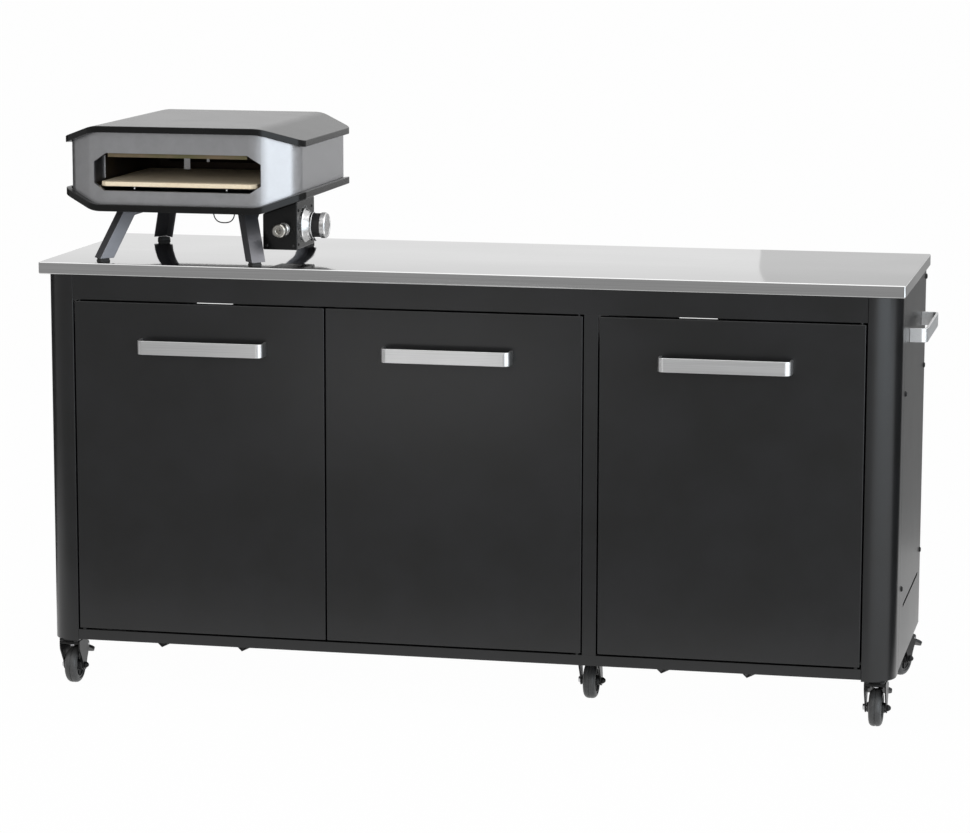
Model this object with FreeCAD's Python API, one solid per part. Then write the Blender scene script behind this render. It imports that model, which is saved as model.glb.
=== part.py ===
# Outdoor kitchen: a steel cabinet on casters with three hinged doors, a folded
# stainless worktop and a gas pizza oven that stands on it. Millimetres, +Z up,
# +X to the right seen from the front, origin on the floor under the middle.
import math
import os

import FreeCAD, Part
from FreeCAD import Vector

# Worktop and carcass
worktop_length = 1885.0
worktop_depth = 600.0
worktop_height = 950.0
worktop_edge = 26.5
worktop_return = 18.0
sheet = 2.0
front_inset = 3.5
side_overhang = 8.0
back_overhang = 10.0
opening_half = 865.5
post_base = 107.0
cap_thickness = 3.0
post_radius = 62.0
jamb_depth = 34.0
post_side_reach = 105.0
lap_start = 85.0
lap_end = 155.0
rear_post_flange = 40.0
rear_cap_start = 490.0
rail_depth = 40.0
top_rail_bottom = 870.0
bottom_rail_bottom = 111.0
bottom_rail_top = 133.5
floor_sheet = 1.5
stiffener_width = 60.0
stiffener_places = (150.0, 300.0, 450.0)
seam_gap = 1.5
loose_fit = 0.5

# Pressed floor vents and the two hose openings in the back
vent_places = (-709.0, -525.0, 411.0, 596.0)
vent_width = 65.0
vent_tip = 22.0
vent_drop = 21.0
vent_length = 60.0
vent_wall = 2.4
vent_from_front = 40.0
hose_opening_places = (-720.5, 422.5)
hose_opening_width = 88.0
hose_opening_height = 60.0
hose_opening_level = 777.0
hose_opening_radius = 12.0

# Side panels
side_vent_level = 236.0
side_vent_height = 7.0
side_vent_start = 182.0
side_vent_end = 532.0
bolt_places = ((135.0, 283.0), (135.0, 704.0), (568.0, 283.0), (568.0, 704.0), (581.0, 902.0))
bolt_radius = 3.0
bolt_head_radius = 6.0
bolt_head_height = 3.5
bolt_length = 10.0
hole_clearance = 0.05

# Doors
centre_post_width = 30.0
door_gap = 3.0
door_thickness = 20.0
door_bottom = 137.0
door_top = 866.0
door_sheet = 1.5
pivot_inset = 9.0
pivot_setback = 7.0
pivot_radius = 3.0
pivot_reach = 20.0
pivot_head_radius = 5.0
pivot_head_height = 3.0
running_clearance = 0.05
bush_radius = 5.0
bush_length = 22.0
rest_gap = 0.3
strike_width = 30.0
strike_height = 16.0
strike_thickness = 1.5
catch_width = 36.0
catch_height = 20.0
catch_depth = 17.0
catch_from_edge = 34.0

# Handles, the same bent bar on the doors and the sides
handle_length = 282.0
handle_height = 30.0
handle_reach = 38.0
handle_bar = 5.0
handle_radius = 14.0
handle_level = 773.0
handle_shift = 11.0
side_handle_level = 820.0
side_handle_middle = 345.0

# Casters
caster_corner_x = 894.0
caster_middle_x = 259.0
caster_front = 38.0
caster_middle_front = 147.0
caster_rear = 516.0
caster_turns = {"rear_right": -20.0, "rear_left": 20.0}
plate_width = 44.0
plate_length = 52.0
plate_thickness = 3.0
plate_bolt_x = 16.5
plate_bolt_y = 20.5
plate_bolt_head = 2.5
plate_bolt_head_radius = 5.0
race_radius = 17.0
kingpin_radius = 4.0
kingpin_head_radius = 8.0
kingpin_head_height = 4.0
fork_top = 101.0
fork_bottom = 93.0
fork_radius = 19.0
fork_half_width = 23.5
fork_sheet = 3.0
fork_nose = 16.0
fork_shoulder = 10.0
ear_reach = 6.0
wheel_trail = 20.0
wheel_radius = 40.0
wheel_width = 28.0
tyre_depth = 11.0
tread_round = 10.0
hub_width = 24.0
hub_recess = 5.0
hub_rim = 4.0
boss_radius = 11.0
boss_width = 39.0
axle_radius = 4.0
axle_head_radius = 7.0
axle_head = 5.0
axle_nut = 8.0
axle_end_radius = 11.0
pedal_pivot_y = 44.0
pedal_pivot_z = 83.0
pedal_pin_radius = 2.5
pedal_barrel_radius = 5.5
pedal_half_width = 16.0
pedal_tip_y = 74.0
pedal_tip_z = 59.7
pedal_thickness = 3.0
shoe_start = 4.0
shoe_end = 19.0
shoe_depth = 5.5
shoe_half_width = 11.0
tread_start = 22.0
tread_half_width = 29.0
tread_thickness = 6.0

# Oven body
oven_x = -634.0
oven_from_front = 278.0
oven_width = 544.0
oven_depth = 527.0
oven_chamfer_x = 84.0
oven_chamfer_y = 63.0
oven_corner_radius = 60.0
oven_sheet = 1.5
shell_inset = 11.0
tray_bottom = 1062.0
tray_rim = 15.0
tray_rise = 30.0
lid_top = 1247.0
lid_rim = 14.0
lid_drop = 29.0
mouth_width = 376.0
mouth_bottom = 1106.0
mouth_top = 1188.0
mouth_top_chamfer = (29.0, 19.0)
mouth_bottom_chamfer = (24.0, 16.0)
liner_half_width = 188.0
liner_front = -232.0
liner_back = 215.0
liner_bottom = 1078.0
liner_top = 1206.0
ledge_level = 1115.0
ledge_width = 34.0
stone_width = 352.0
stone_depth = 350.0
stone_thickness = 10.0
stone_front = -244.0
stone_chamfer = 12.0

# Oven burner, gas train and controls
burner_radius = 9.0
burner_bore = 7.0
burner_bend = 20.0
burner_x = 212.0
burner_start_y = -60.0
burner_back_y = 185.0
burner_level = 1142.0
burner_end_x = -150.0
pipe_gap = 1.0
box_left = 173.0
box_right = 250.0
box_front = -183.0
box_back = -38.0
box_bottom = 979.0
valve_left = 198.0
valve_right = 235.0
valve_front = -141.0
valve_back = -45.0
valve_bottom = 1010.0
valve_top = 1046.0
knob_y = -118.0
knob_z = 1028.0
stem_radius = 4.0
stem_start = 215.0
stem_end = 290.0
stem_stroke = 4.0
bezel_flange_radius = 38.0
bezel_flange = 5.0
bezel_radius = 29.0
bezel_end = 271.0
knob_grip_radius = 26.5
knob_grip_start = 264.0
knob_cap_start = 288.0
knob_cap_radius = 28.0
knob_end = 301.0
knob_cap_round = 2.0
knob_bore_depth = 28.0
inlet_x = 221.0
inlet_z = 1025.0
inlet_flange_radius = 14.0
inlet_flange = 5.0
inlet_neck_radius = 9.0
inlet_neck = 22.0
inlet_collar_radius = 14.5
inlet_collar = 20.0
inlet_thread_radius = 5.8
inlet_thread_depth = 14.0
lead_radius = 1.3
lead_loop = 24.0
lead_x = 85.0
lead_y = -180.0

# Oven legs
leg_ridges = {-1: ((171.5, 263.0), (135.0, 200.0)), 1: ((171.5, 215.0), (135.0, 152.0))}
leg_flange = 35.0
leg_gusset = 62.0
leg_gusset_beside_box = 10.0
leg_gusset_height = 15.0
leg_sheet = 2.5
leg_fold = 50.0
foot_height = 8.0
foot_size = 25.0

# Places that follow from the sizes above
overall_depth = worktop_depth - front_inset + handle_reach
worktop_back = overall_depth / 2
worktop_front = worktop_back - worktop_depth
front_face = worktop_front + front_inset
rear_face = worktop_back - back_overhang
side_face = worktop_length / 2 - side_overhang
carcass_top = worktop_height - worktop_edge
floor_top = bottom_rail_bottom + sheet + floor_sheet
door_width = (2 * opening_half - centre_post_width - 5 * door_gap) / 3
door_left_x = -opening_half + door_gap
door_middle_x = door_left_x + door_width + door_gap
centre_post_x = door_middle_x + door_width + door_gap
door_right_x = centre_post_x + centre_post_width + door_gap
partition_x = centre_post_x + centre_post_width / 2
oven_y = worktop_front + oven_from_front
axle_z = wheel_radius
x_axis = Vector(1, 0, 0)
y_axis = Vector(0, 1, 0)
z_axis = Vector(0, 0, 1)


def box(x0, x1, y0, y1, z0, z1):
    return Part.makeBox(x1 - x0, y1 - y0, z1 - z0, Vector(x0, y0, z0))


def rod(radius, start, end):
    return Part.makeCylinder(radius, (end - start).Length, start, end - start)


def tube(radius, bore, start, end):
    return rod(radius, start, end).cut(rod(bore, start, end))


def prism(points, along):
    return Part.Face(Part.makePolygon(points + points[:1])).extrude(along)


def arc(first, middle, last):
    return Part.Arc(first, middle, last).toShape()


def fuse(first, *others):
    return first.multiFuse(list(others)).removeSplitter()


def mirrored(shape):
    return shape.mirror(Vector(0, 0, 0), x_axis)


def moved(shape, x, y, z):
    copy = shape.copy()
    copy.translate(Vector(x, y, z))
    return copy


def write(name, *solids):
    shape = solids[0] if len(solids) == 1 else Part.makeCompound(list(solids))
    shape.exportStep(f"parts/{name}.step")


def corner_arc(centre_x, centre_y, radius, z):
    half = radius * math.sqrt(0.5)
    first = Vector(centre_x, centre_y - radius, z)
    middle = Vector(centre_x + half, centre_y - half, z)
    last = Vector(centre_x + radius, centre_y, z)
    return arc(first, middle, last)


def on_knob_axis(x):
    return Vector(x, knob_y, knob_z)


def on_axle(x):
    return Vector(x, wheel_trail, axle_z)


# Casters: where the swivel axis of each one stands; the four at the corners have brakes
def caster_places():
    places = {}
    for side, sign in (("left", -1), ("right", 1)):
        places[f"front_{side}"] = (sign * caster_corner_x, worktop_front + caster_front)
        places[f"rear_{side}"] = (sign * caster_corner_x, worktop_front + caster_rear)
    places["front_middle"] = (caster_middle_x, worktop_front + caster_middle_front)
    places["rear_middle"] = (caster_middle_x, worktop_front + caster_rear)
    return places


def has_brake(name):
    return not name.endswith("middle")


def plate_bolt_points(x, y):
    return [(x + sx * plate_bolt_x, y + sy * plate_bolt_y) for sx in (-1, 1) for sy in (-1, 1)]


def without_caster_holes(shape):
    for x, y in caster_places().values():
        for bolt_x, bolt_y in plate_bolt_points(x, y):
            low = Vector(bolt_x, bolt_y, post_base - plate_thickness)
            high = Vector(bolt_x, bolt_y, floor_top)
            shape = shape.cut(rod(bolt_radius + hole_clearance, low, high))
    return shape


def without_side_bolt_holes(shape):
    for from_front, level in bolt_places:
        for sign in (-1, 1):
            y = worktop_front + from_front
            inner = Vector(sign * (side_face - bolt_length), y, level)
            outer = Vector(sign * side_face, y, level)
            shape = shape.cut(rod(bolt_radius + hole_clearance, inner, outer))
    return shape


# Worktop: a folded tray, open below, with an inward return along its lower edge
def make_worktop():
    half = worktop_length / 2
    rim = sheet + worktop_return
    inner_top = worktop_height - sheet
    outer = box(-half, half, worktop_front, worktop_back, carcass_top, worktop_height)
    hollow = box(-half + sheet, half - sheet, worktop_front + sheet, worktop_back - sheet,
                 carcass_top + sheet, inner_top)
    mouth = box(-half + rim, half - rim, worktop_front + rim, worktop_back - rim, carcass_top, inner_top)
    return outer.cut(hollow).cut(mouth)


def make_stiffeners():
    end = worktop_length / 2 - sheet - worktop_return - loose_fit
    half = stiffener_width / 2
    top = worktop_height - sheet
    bars = []
    for from_front in stiffener_places:
        y = worktop_front + from_front
        bar = box(-end, end, y - half, y + half, carcass_top, top)
        bars.append(bar.cut(box(-end, end, y - half + sheet, y + half - sheet, carcass_top, top - sheet)))
    return bars


# Front corner post: jamb, front flat, rounded corner, side flange with a lap behind the side panel
def make_front_post():
    outer_y = front_face + post_radius
    outer_x = side_face - post_radius
    side_end = worktop_front + post_side_reach
    inner_x = opening_half + sheet
    inner_y = front_face + sheet
    z = post_base

    def at(x, y):
        return Vector(x, y, z)

    outside = corner_arc(outer_x, outer_y, post_radius, z)
    inside = corner_arc(outer_x, outer_y, post_radius - sheet, z)
    path = [at(side_face, outer_y), at(side_face, side_end), at(side_face - sheet, side_end),
            at(side_face - sheet, outer_y)]
    jamb_end = front_face + jamb_depth
    back = [at(outer_x, inner_y), at(inner_x, inner_y), at(inner_x, jamb_end), at(opening_half, jamb_end),
            at(opening_half, front_face), at(outer_x, front_face)]
    edges = [outside] + Part.makePolygon(path).Edges + [inside] + Part.makePolygon(back).Edges
    wall = Part.Face(Part.Wire(Part.__sortEdges__(edges))).extrude(z_axis * (carcass_top - post_base))
    rest = [at(side_face, outer_y), at(side_face, side_end), at(opening_half, side_end),
            at(opening_half, front_face), at(outer_x, front_face)]
    outline = Part.Wire(Part.__sortEdges__([outside] + Part.makePolygon(rest).Edges))
    cap = Part.Face(outline).extrude(z_axis * cap_thickness)
    lap = box(side_face - 2 * sheet, side_face - sheet, worktop_front + lap_start, worktop_front + lap_end,
              bottom_rail_bottom, carcass_top)
    return fuse(wall, cap, lap)


def make_rear_post():
    outer_x = side_face - sheet
    outer_y = rear_face - sheet
    back = box(outer_x - rear_post_flange, outer_x, outer_y - sheet, outer_y, post_base, carcass_top)
    side = box(outer_x - sheet, outer_x, outer_y - rear_post_flange, outer_y, post_base, carcass_top)
    cap = box(opening_half, outer_x, worktop_front + rear_cap_start, outer_y, post_base,
              post_base + cap_thickness)
    return fuse(back, side, cap)


def make_rail(bottom, top, pin_flange):
    back = front_face + rail_depth
    outer = box(-opening_half, opening_half, front_face, back, bottom, top)
    hollow = box(-opening_half, opening_half, front_face + sheet, back, bottom + sheet, top - sheet)
    rail = outer.cut(hollow)
    for x in door_pivots():
        point = Vector(x, front_face + pivot_setback, pin_flange)
        rail = rail.cut(rod(pivot_radius + hole_clearance, point, point + z_axis * sheet))
    return rail


def make_centre_post():
    end = centre_post_x + centre_post_width
    back = front_face + rail_depth
    outer = box(centre_post_x, end, front_face, back, bottom_rail_top, top_rail_bottom)
    hollow = box(centre_post_x + sheet, end - sheet, front_face + sheet, back,
                 bottom_rail_top, top_rail_bottom)
    return outer.cut(hollow)


def make_partition():
    start = front_face + rail_depth
    end = rear_face - sheet
    return box(partition_x - sheet / 2, partition_x + sheet / 2, start, end, floor_top, carcass_top)


def make_side_panel():
    start = worktop_front + post_side_reach + seam_gap
    end = rear_face
    panel = box(side_face - sheet, side_face, start, end, bottom_rail_bottom, carcass_top)
    half = side_vent_height / 2
    slot = box(side_face - sheet, side_face, worktop_front + side_vent_start, worktop_front + side_vent_end,
               side_vent_level - half, side_vent_level + half)
    return panel.cut(slot)


def make_back_panel():
    half = side_face - sheet
    panel = box(-half, half, rear_face - sheet, rear_face, bottom_rail_bottom, carcass_top)
    half_wide = hose_opening_width / 2
    half_high = hose_opening_height / 2
    for x in hose_opening_places:
        opening = box(x - half_wide, x + half_wide, rear_face - sheet, rear_face,
                      hose_opening_level - half_high, hose_opening_level + half_high)
        upright = [edge for edge in opening.Edges if abs(edge.tangentAt(edge.FirstParameter).y) > 0.9]
        panel = panel.cut(opening.makeFillet(hose_opening_radius, upright))
    return panel


# Floor: one sheet with pressed-down vents, and a thicker pad over each middle caster
def make_floor():
    low = bottom_rail_bottom + sheet
    front = front_face + sheet
    back = rear_face - 2 * sheet
    wide = side_face - 2 * sheet - loose_fit
    floor = box(-opening_half, opening_half, front, back, low, floor_top)
    floor = fuse(floor, box(-wide, wide, worktop_front + lap_end, back, low, floor_top))
    for x in vent_places:
        start = front + vent_from_front
        tip = low - vent_drop

        def scoop(rise):
            outline = [(x, low), (x + vent_tip, tip), (x + vent_width, low)]
            return prism([Vector(px, start, pz + rise) for px, pz in outline], y_axis * vent_length)

        floor = fuse(floor, scoop(0)).cut(scoop(vent_wall))
    for name in ("front_middle", "rear_middle"):
        x, y = caster_places()[name]
        half_x = plate_width / 2
        half_y = plate_length / 2
        floor = fuse(floor, box(x - half_x, x + half_x, y - half_y, y + half_y, post_base, low))
    return without_caster_holes(floor)


def door_edges():
    return {"left": (door_left_x, -1), "middle": (door_middle_x, 1), "right": (door_right_x, 1)}


def pivot_place(start, sign):
    return start + pivot_inset if sign < 0 else start + door_width - pivot_inset


def door_pivots():
    return [pivot_place(start, sign) for start, sign in door_edges().values()]


def make_pivot_pins():
    pins = []
    y = front_face + pivot_setback
    for x in door_pivots():
        flange = top_rail_bottom + sheet
        shank = rod(pivot_radius, Vector(x, y, door_top - pivot_reach), Vector(x, y, flange))
        head = rod(pivot_head_radius, Vector(x, y, flange), Vector(x, y, flange + pivot_head_height))
        pins.append(fuse(shank, head))
        flange = bottom_rail_top - sheet
        shank = rod(pivot_radius, Vector(x, y, flange), Vector(x, y, door_bottom + pivot_reach))
        head = rod(pivot_head_radius, Vector(x, y, flange - pivot_head_height), Vector(x, y, flange))
        collar = rod(pivot_head_radius, Vector(x, y, bottom_rail_top), Vector(x, y, door_bottom - rest_gap))
        pins.append(fuse(shank, head, collar))
    return pins


def catch_middle(start, sign):
    return start + door_width - catch_from_edge if sign < 0 else start + catch_from_edge


def make_catches():
    catches = []
    y = front_face + door_thickness + strike_thickness + rest_gap
    for start, sign in door_edges().values():
        x = catch_middle(start, sign)
        catches.append(box(x - catch_width / 2, x + catch_width / 2, y, y + catch_depth,
                           top_rail_bottom - catch_height, top_rail_bottom))
    return catches


def make_handle():
    half = handle_length / 2
    z = -handle_height / 2

    def side(sign, inset):
        x = sign * (half - inset)
        radius = handle_radius - inset
        turn_x = sign * (half - handle_radius)
        turn_y = -handle_reach + handle_radius
        bend = radius * math.sqrt(0.5)
        top = Vector(x, 0, z)
        first = Vector(x, turn_y, z)
        middle = Vector(turn_x + sign * bend, turn_y - bend, z)
        last = Vector(turn_x, turn_y - radius, z)
        return top, last, [Part.makeLine(top, first), arc(first, middle, last)]

    outer_left, front_left, left_edges = side(-1, 0)
    outer_right, front_right, right_edges = side(1, 0)
    inner_left, back_left, inner_left_edges = side(-1, handle_bar)
    inner_right, back_right, inner_right_edges = side(1, handle_bar)
    edges = left_edges + right_edges + inner_left_edges + inner_right_edges
    edges.append(Part.makeLine(front_left, front_right))
    edges.append(Part.makeLine(back_left, back_right))
    edges.append(Part.makeLine(outer_left, inner_left))
    edges.append(Part.makeLine(outer_right, inner_right))
    return Part.Face(Part.Wire(Part.__sortEdges__(edges))).extrude(z_axis * handle_height)


def make_side_handles():
    handles = []
    for sign in (-1, 1):
        handle = make_handle()
        handle.rotate(Vector(0, 0, 0), z_axis, 90 * sign)
        y = worktop_front + side_handle_middle
        handles.append(moved(handle, sign * side_face, y, side_handle_level))
    return handles


def make_bolts():
    bolts = []
    for sign in (-1, 1):
        for from_front, level in bolt_places:
            y = worktop_front + from_front
            inner = Vector(sign * (side_face - bolt_length), y, level)
            face = Vector(sign * side_face, y, level)
            outer = Vector(sign * (side_face + bolt_head_height), y, level)
            bolts.append(fuse(rod(bolt_radius, inner, face), rod(bolt_head_radius, face, outer)))
    for x, y in caster_places().values():
        for bolt_x, bolt_y in plate_bolt_points(x, y):
            low = Vector(bolt_x, bolt_y, post_base - plate_thickness - plate_bolt_head)
            face = Vector(bolt_x, bolt_y, post_base - plate_thickness)
            high = Vector(bolt_x, bolt_y, post_base + cap_thickness)
            bolts.append(fuse(rod(plate_bolt_head_radius, low, face), rod(bolt_radius, face, high)))
    return bolts


# Doors: a folded front pan, a liner sheet closing its back, a handle, and the fittings
def write_door(name, start, sign):
    end = start + door_width
    back = front_face + door_thickness
    inner_back = back - door_sheet
    skin = box(start, end, front_face, back, door_bottom, door_top)
    skin = skin.cut(box(start + door_sheet, end - door_sheet, front_face + door_sheet, back,
                        door_bottom + door_sheet, door_top - door_sheet))
    liner = box(start + door_sheet, end - door_sheet, inner_back, back,
                door_bottom + door_sheet, door_top - door_sheet)
    pivot_x = pivot_place(start, sign)
    pivot_y = front_face + pivot_setback
    fittings = []
    for edge, into in ((door_bottom, 1), (door_top, -1)):
        mouth = Vector(pivot_x, pivot_y, edge)
        inner = mouth + z_axis * (into * bush_length)
        fittings.append(tube(bush_radius, pivot_radius + running_clearance, mouth, inner))
        skin = skin.cut(rod(bush_radius + hole_clearance, mouth, inner))
    x = catch_middle(start, sign)
    strike_top = door_top - door_sheet
    fittings.append(box(x - strike_width / 2, x + strike_width / 2, back, back + strike_thickness,
                        strike_top - strike_height, strike_top))
    handle_x = (start + end) / 2 - sign * handle_shift
    write(f"door_{name}_skin", skin)
    write(f"door_{name}_liner", liner)
    write(f"door_{name}_handle", moved(make_handle(), handle_x, front_face, handle_level))
    write(f"door_{name}_fittings", *fittings)


# Caster pieces, made round the swivel axis, turned about it and moved into place
def make_caster_plate():
    top = post_base
    low = post_base - plate_thickness
    plate = box(-plate_width / 2, plate_width / 2, -plate_length / 2, plate_length / 2, low, top)
    race_low = fork_top + rest_gap
    head_top = fork_bottom - rest_gap
    race = rod(race_radius, Vector(0, 0, race_low), Vector(0, 0, low))
    kingpin = rod(kingpin_radius, Vector(0, 0, head_top), Vector(0, 0, race_low))
    head = rod(kingpin_head_radius, Vector(0, 0, head_top - kingpin_head_height), Vector(0, 0, head_top))
    plate = fuse(plate, race, kingpin, head)
    for x, y in plate_bolt_points(0, 0):
        plate = plate.cut(rod(bolt_radius + hole_clearance, Vector(x, y, low), Vector(x, y, top)))
    return plate


def make_fork(braked):
    bridge = rod(fork_radius, Vector(0, 0, fork_bottom), Vector(0, 0, fork_top))
    inner = fork_half_width - fork_sheet
    slab = box(-fork_half_width, fork_half_width, -fork_nose, fork_nose, fork_bottom, fork_top)
    profile = [(-fork_nose, fork_top), (fork_nose, fork_top)]
    if braked:
        profile += [(pedal_pivot_y + ear_reach, pedal_pivot_z + ear_reach),
                    (pedal_pivot_y + ear_reach, pedal_pivot_z - ear_reach)]
    profile += [(wheel_trail + axle_end_radius, axle_z), (wheel_trail - axle_end_radius, axle_z),
                (-fork_nose, fork_bottom - fork_shoulder)]
    fork = fuse(bridge, slab)
    for x in (-fork_half_width, inner):
        leg = prism([Vector(x, y, z) for y, z in profile], x_axis * fork_sheet)
        fork = fuse(fork, leg, rod(axle_end_radius, on_axle(x), on_axle(x + fork_sheet)))
    kingpin_hole = rod(kingpin_radius + running_clearance, z_axis * fork_bottom, z_axis * fork_top)
    axle_hole = rod(axle_radius + hole_clearance, on_axle(-fork_half_width), on_axle(fork_half_width))
    fork = fork.cut(kingpin_hole).cut(axle_hole)
    solids = [fork, make_axle()]
    if braked:
        left = Vector(-fork_half_width, pedal_pivot_y, pedal_pivot_z)
        right = Vector(fork_half_width, pedal_pivot_y, pedal_pivot_z)
        solids[0] = fork.cut(rod(pedal_pin_radius + hole_clearance, left, right))
        solids.append(rod(pedal_pin_radius, left, right))
    return solids


def make_axle():
    outer = fork_half_width
    shank = rod(axle_radius, on_axle(-outer), on_axle(outer))
    head = rod(axle_head_radius, on_axle(-outer - axle_head), on_axle(-outer))
    nut = rod(axle_head_radius, on_axle(outer), on_axle(outer + axle_nut))
    return fuse(shank, head, nut)


def make_wheel():
    def disc(radius, width):
        return rod(radius, on_axle(-width / 2), on_axle(width / 2))

    hub_radius = wheel_radius - tyre_depth
    solid = disc(wheel_radius, wheel_width)
    rims = [edge for edge in solid.Edges if len(edge.Vertexes) == 1]
    tyre = solid.makeFillet(tread_round, rims).cut(disc(hub_radius, wheel_width))
    hub = disc(hub_radius - hole_clearance, hub_width)
    groove = disc(hub_radius - hub_rim, hub_width).cut(disc(boss_radius, hub_width))
    hub = hub.cut(groove.cut(disc(hub_radius, hub_width - 2 * hub_recess)))
    hub = fuse(hub, disc(boss_radius, boss_width)).cut(disc(axle_radius + running_clearance, boss_width))
    return [tyre, hub]


def make_pedal():
    pivot = Vector(0, pedal_pivot_y, pedal_pivot_z)
    along = Vector(0, pedal_tip_y, pedal_tip_z) - pivot
    length = along.Length
    along.normalize()
    inward = Vector(0, along.z, -along.y)

    def bar(start, end, low, high, half_width):
        points = [pivot + along * s + inward * t - x_axis * half_width
                  for s, t in ((start, low), (end, low), (end, high), (start, high))]
        return prism(points, x_axis * (2 * half_width))

    half = pedal_thickness / 2
    barrel = rod(pedal_barrel_radius, pivot - x_axis * pedal_half_width, pivot + x_axis * pedal_half_width)
    arm = bar(0, length, -half, half, pedal_half_width)
    shoe = bar(shoe_start, shoe_end, half, half + shoe_depth, shoe_half_width)
    tread = bar(tread_start, length, -tread_thickness, half, tread_half_width)
    bore = rod(pedal_pin_radius + running_clearance, pivot - x_axis * fork_half_width,
               pivot + x_axis * fork_half_width)
    return fuse(barrel, arm, shoe, tread).cut(bore)


def write_casters():
    plates = []
    for name, (x, y) in caster_places().items():
        def place(solid):
            solid.rotate(Vector(0, 0, 0), z_axis, caster_turns.get(name, 0))
            return moved(solid, x, y, 0)

        plates.append(moved(make_caster_plate(), x, y, 0))
        write(f"caster_{name}_fork", *[place(solid) for solid in make_fork(has_brake(name))])
        write(f"caster_{name}_wheel", *[place(solid) for solid in make_wheel()])
        if has_brake(name):
            write(f"caster_{name}_pedal", place(make_pedal()))
    write("caster_plates", *plates)


# Oven: an eight-sided body, whose lid and tray are bent down and up at both sides
def oven_slab(inset, low, low_rise, high, high_rise):
    half_width = oven_width / 2 - inset
    half_depth = oven_depth / 2 - inset
    lost = inset * (oven_chamfer_x + oven_chamfer_y - math.hypot(oven_chamfer_x, oven_chamfer_y))
    chamfer_x = oven_chamfer_x - lost / oven_chamfer_y
    chamfer_y = oven_chamfer_y - lost / oven_chamfer_x
    bend = oven_width / 2 - oven_chamfer_x
    edge = oven_width / 2
    bottom = min(low, low + low_rise)
    top = max(high, high + high_rise)
    outline = []
    for sx, sy, first in ((1, -1, 1), (1, 1, 0), (-1, 1, 1), (-1, -1, 0)):
        corner = [Vector(sx * half_width, sy * (half_depth - chamfer_y), bottom),
                  Vector(sx * (half_width - chamfer_x), sy * half_depth, bottom)]
        outline += corner[::-1] if first else corner
    plan = prism(outline, z_axis * (top - bottom))
    upright = [edge for edge in plan.Edges if abs(edge.tangentAt(edge.FirstParameter).z) > 0.9]
    plan = plan.makeFillet(oven_corner_radius - inset, upright)
    section = [(-edge, low + low_rise), (-bend, low), (bend, low), (edge, low + low_rise),
               (edge, high + high_rise), (bend, high), (-bend, high), (-edge, high + high_rise)]
    bent = prism([Vector(x, -oven_depth, z) for x, z in section], y_axis * (2 * oven_depth))
    return plan.common(bent)


def make_lid():
    rim_low = lid_top - lid_rim
    outer = oven_slab(0, rim_low, -lid_drop, lid_top, -lid_drop)
    return outer.cut(oven_slab(oven_sheet, rim_low, -lid_drop, lid_top - oven_sheet, -lid_drop))


def make_tray():
    rim_top = tray_bottom + tray_rim
    outer = oven_slab(0, tray_bottom, tray_rise, rim_top, tray_rise)
    tray = outer.cut(oven_slab(oven_sheet, tray_bottom + oven_sheet, tray_rise, rim_top, tray_rise))
    low = Vector(burner_x, burner_start_y, tray_bottom)
    return tray.cut(rod(burner_radius + pipe_gap, low, low + z_axis * 2 * tray_rise))


def make_shell():
    low = tray_bottom + oven_sheet
    high = lid_top - oven_sheet
    outer = oven_slab(shell_inset, low, tray_rise, high, -lid_drop)
    shell = outer.cut(oven_slab(shell_inset + oven_sheet, low, tray_rise, high, -lid_drop))
    half = mouth_width / 2
    low_x = half - mouth_bottom_chamfer[0]
    low_z = mouth_bottom + mouth_bottom_chamfer[1]
    high_x = half - mouth_top_chamfer[0]
    high_z = mouth_top - mouth_top_chamfer[1]
    outline = [(-low_x, mouth_bottom), (low_x, mouth_bottom), (half, low_z), (half, high_z),
               (high_x, mouth_top), (-high_x, mouth_top), (-half, high_z), (-half, low_z)]
    front = -oven_depth / 2
    return shell.cut(prism([Vector(x, front, z) for x, z in outline], y_axis * oven_depth / 4))


# Heat liner: roof, back and sides round the cooking space, with a ledge for the stone on each side
def make_liner():
    half = liner_half_width
    inner = half - oven_sheet
    outer = box(-half, half, liner_front, liner_back, liner_bottom, liner_top)
    liner = outer.cut(box(-inner, inner, liner_front, liner_back - oven_sheet, liner_bottom,
                          liner_top - oven_sheet))
    for sign in (-1, 1):
        first = min(sign * inner, sign * (inner - ledge_width))
        ledge = box(first, first + ledge_width, liner_front, liner_back - oven_sheet,
                    ledge_level - oven_sheet, ledge_level)
        liner = fuse(liner, ledge)
        foot_low = tray_bottom + oven_sheet
        for y in (liner_front, liner_back - ledge_width):
            side = min(sign * half, sign * inner)
            liner = fuse(liner, box(side, side + oven_sheet, y, y + ledge_width, foot_low, liner_bottom))
    start = Vector(0, burner_back_y, burner_level)
    return liner.cut(rod(burner_radius + pipe_gap, start, start + x_axis * 2 * half))


def make_stone():
    half = stone_width / 2
    back = stone_front + stone_depth
    outline = [(-half + stone_chamfer, stone_front), (half - stone_chamfer, stone_front),
               (half, stone_front + stone_chamfer), (half, back), (-half, back),
               (-half, stone_front + stone_chamfer)]
    low = ledge_level + rest_gap
    return prism([Vector(x, y, low) for x, y in outline], z_axis * stone_thickness)


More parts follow.
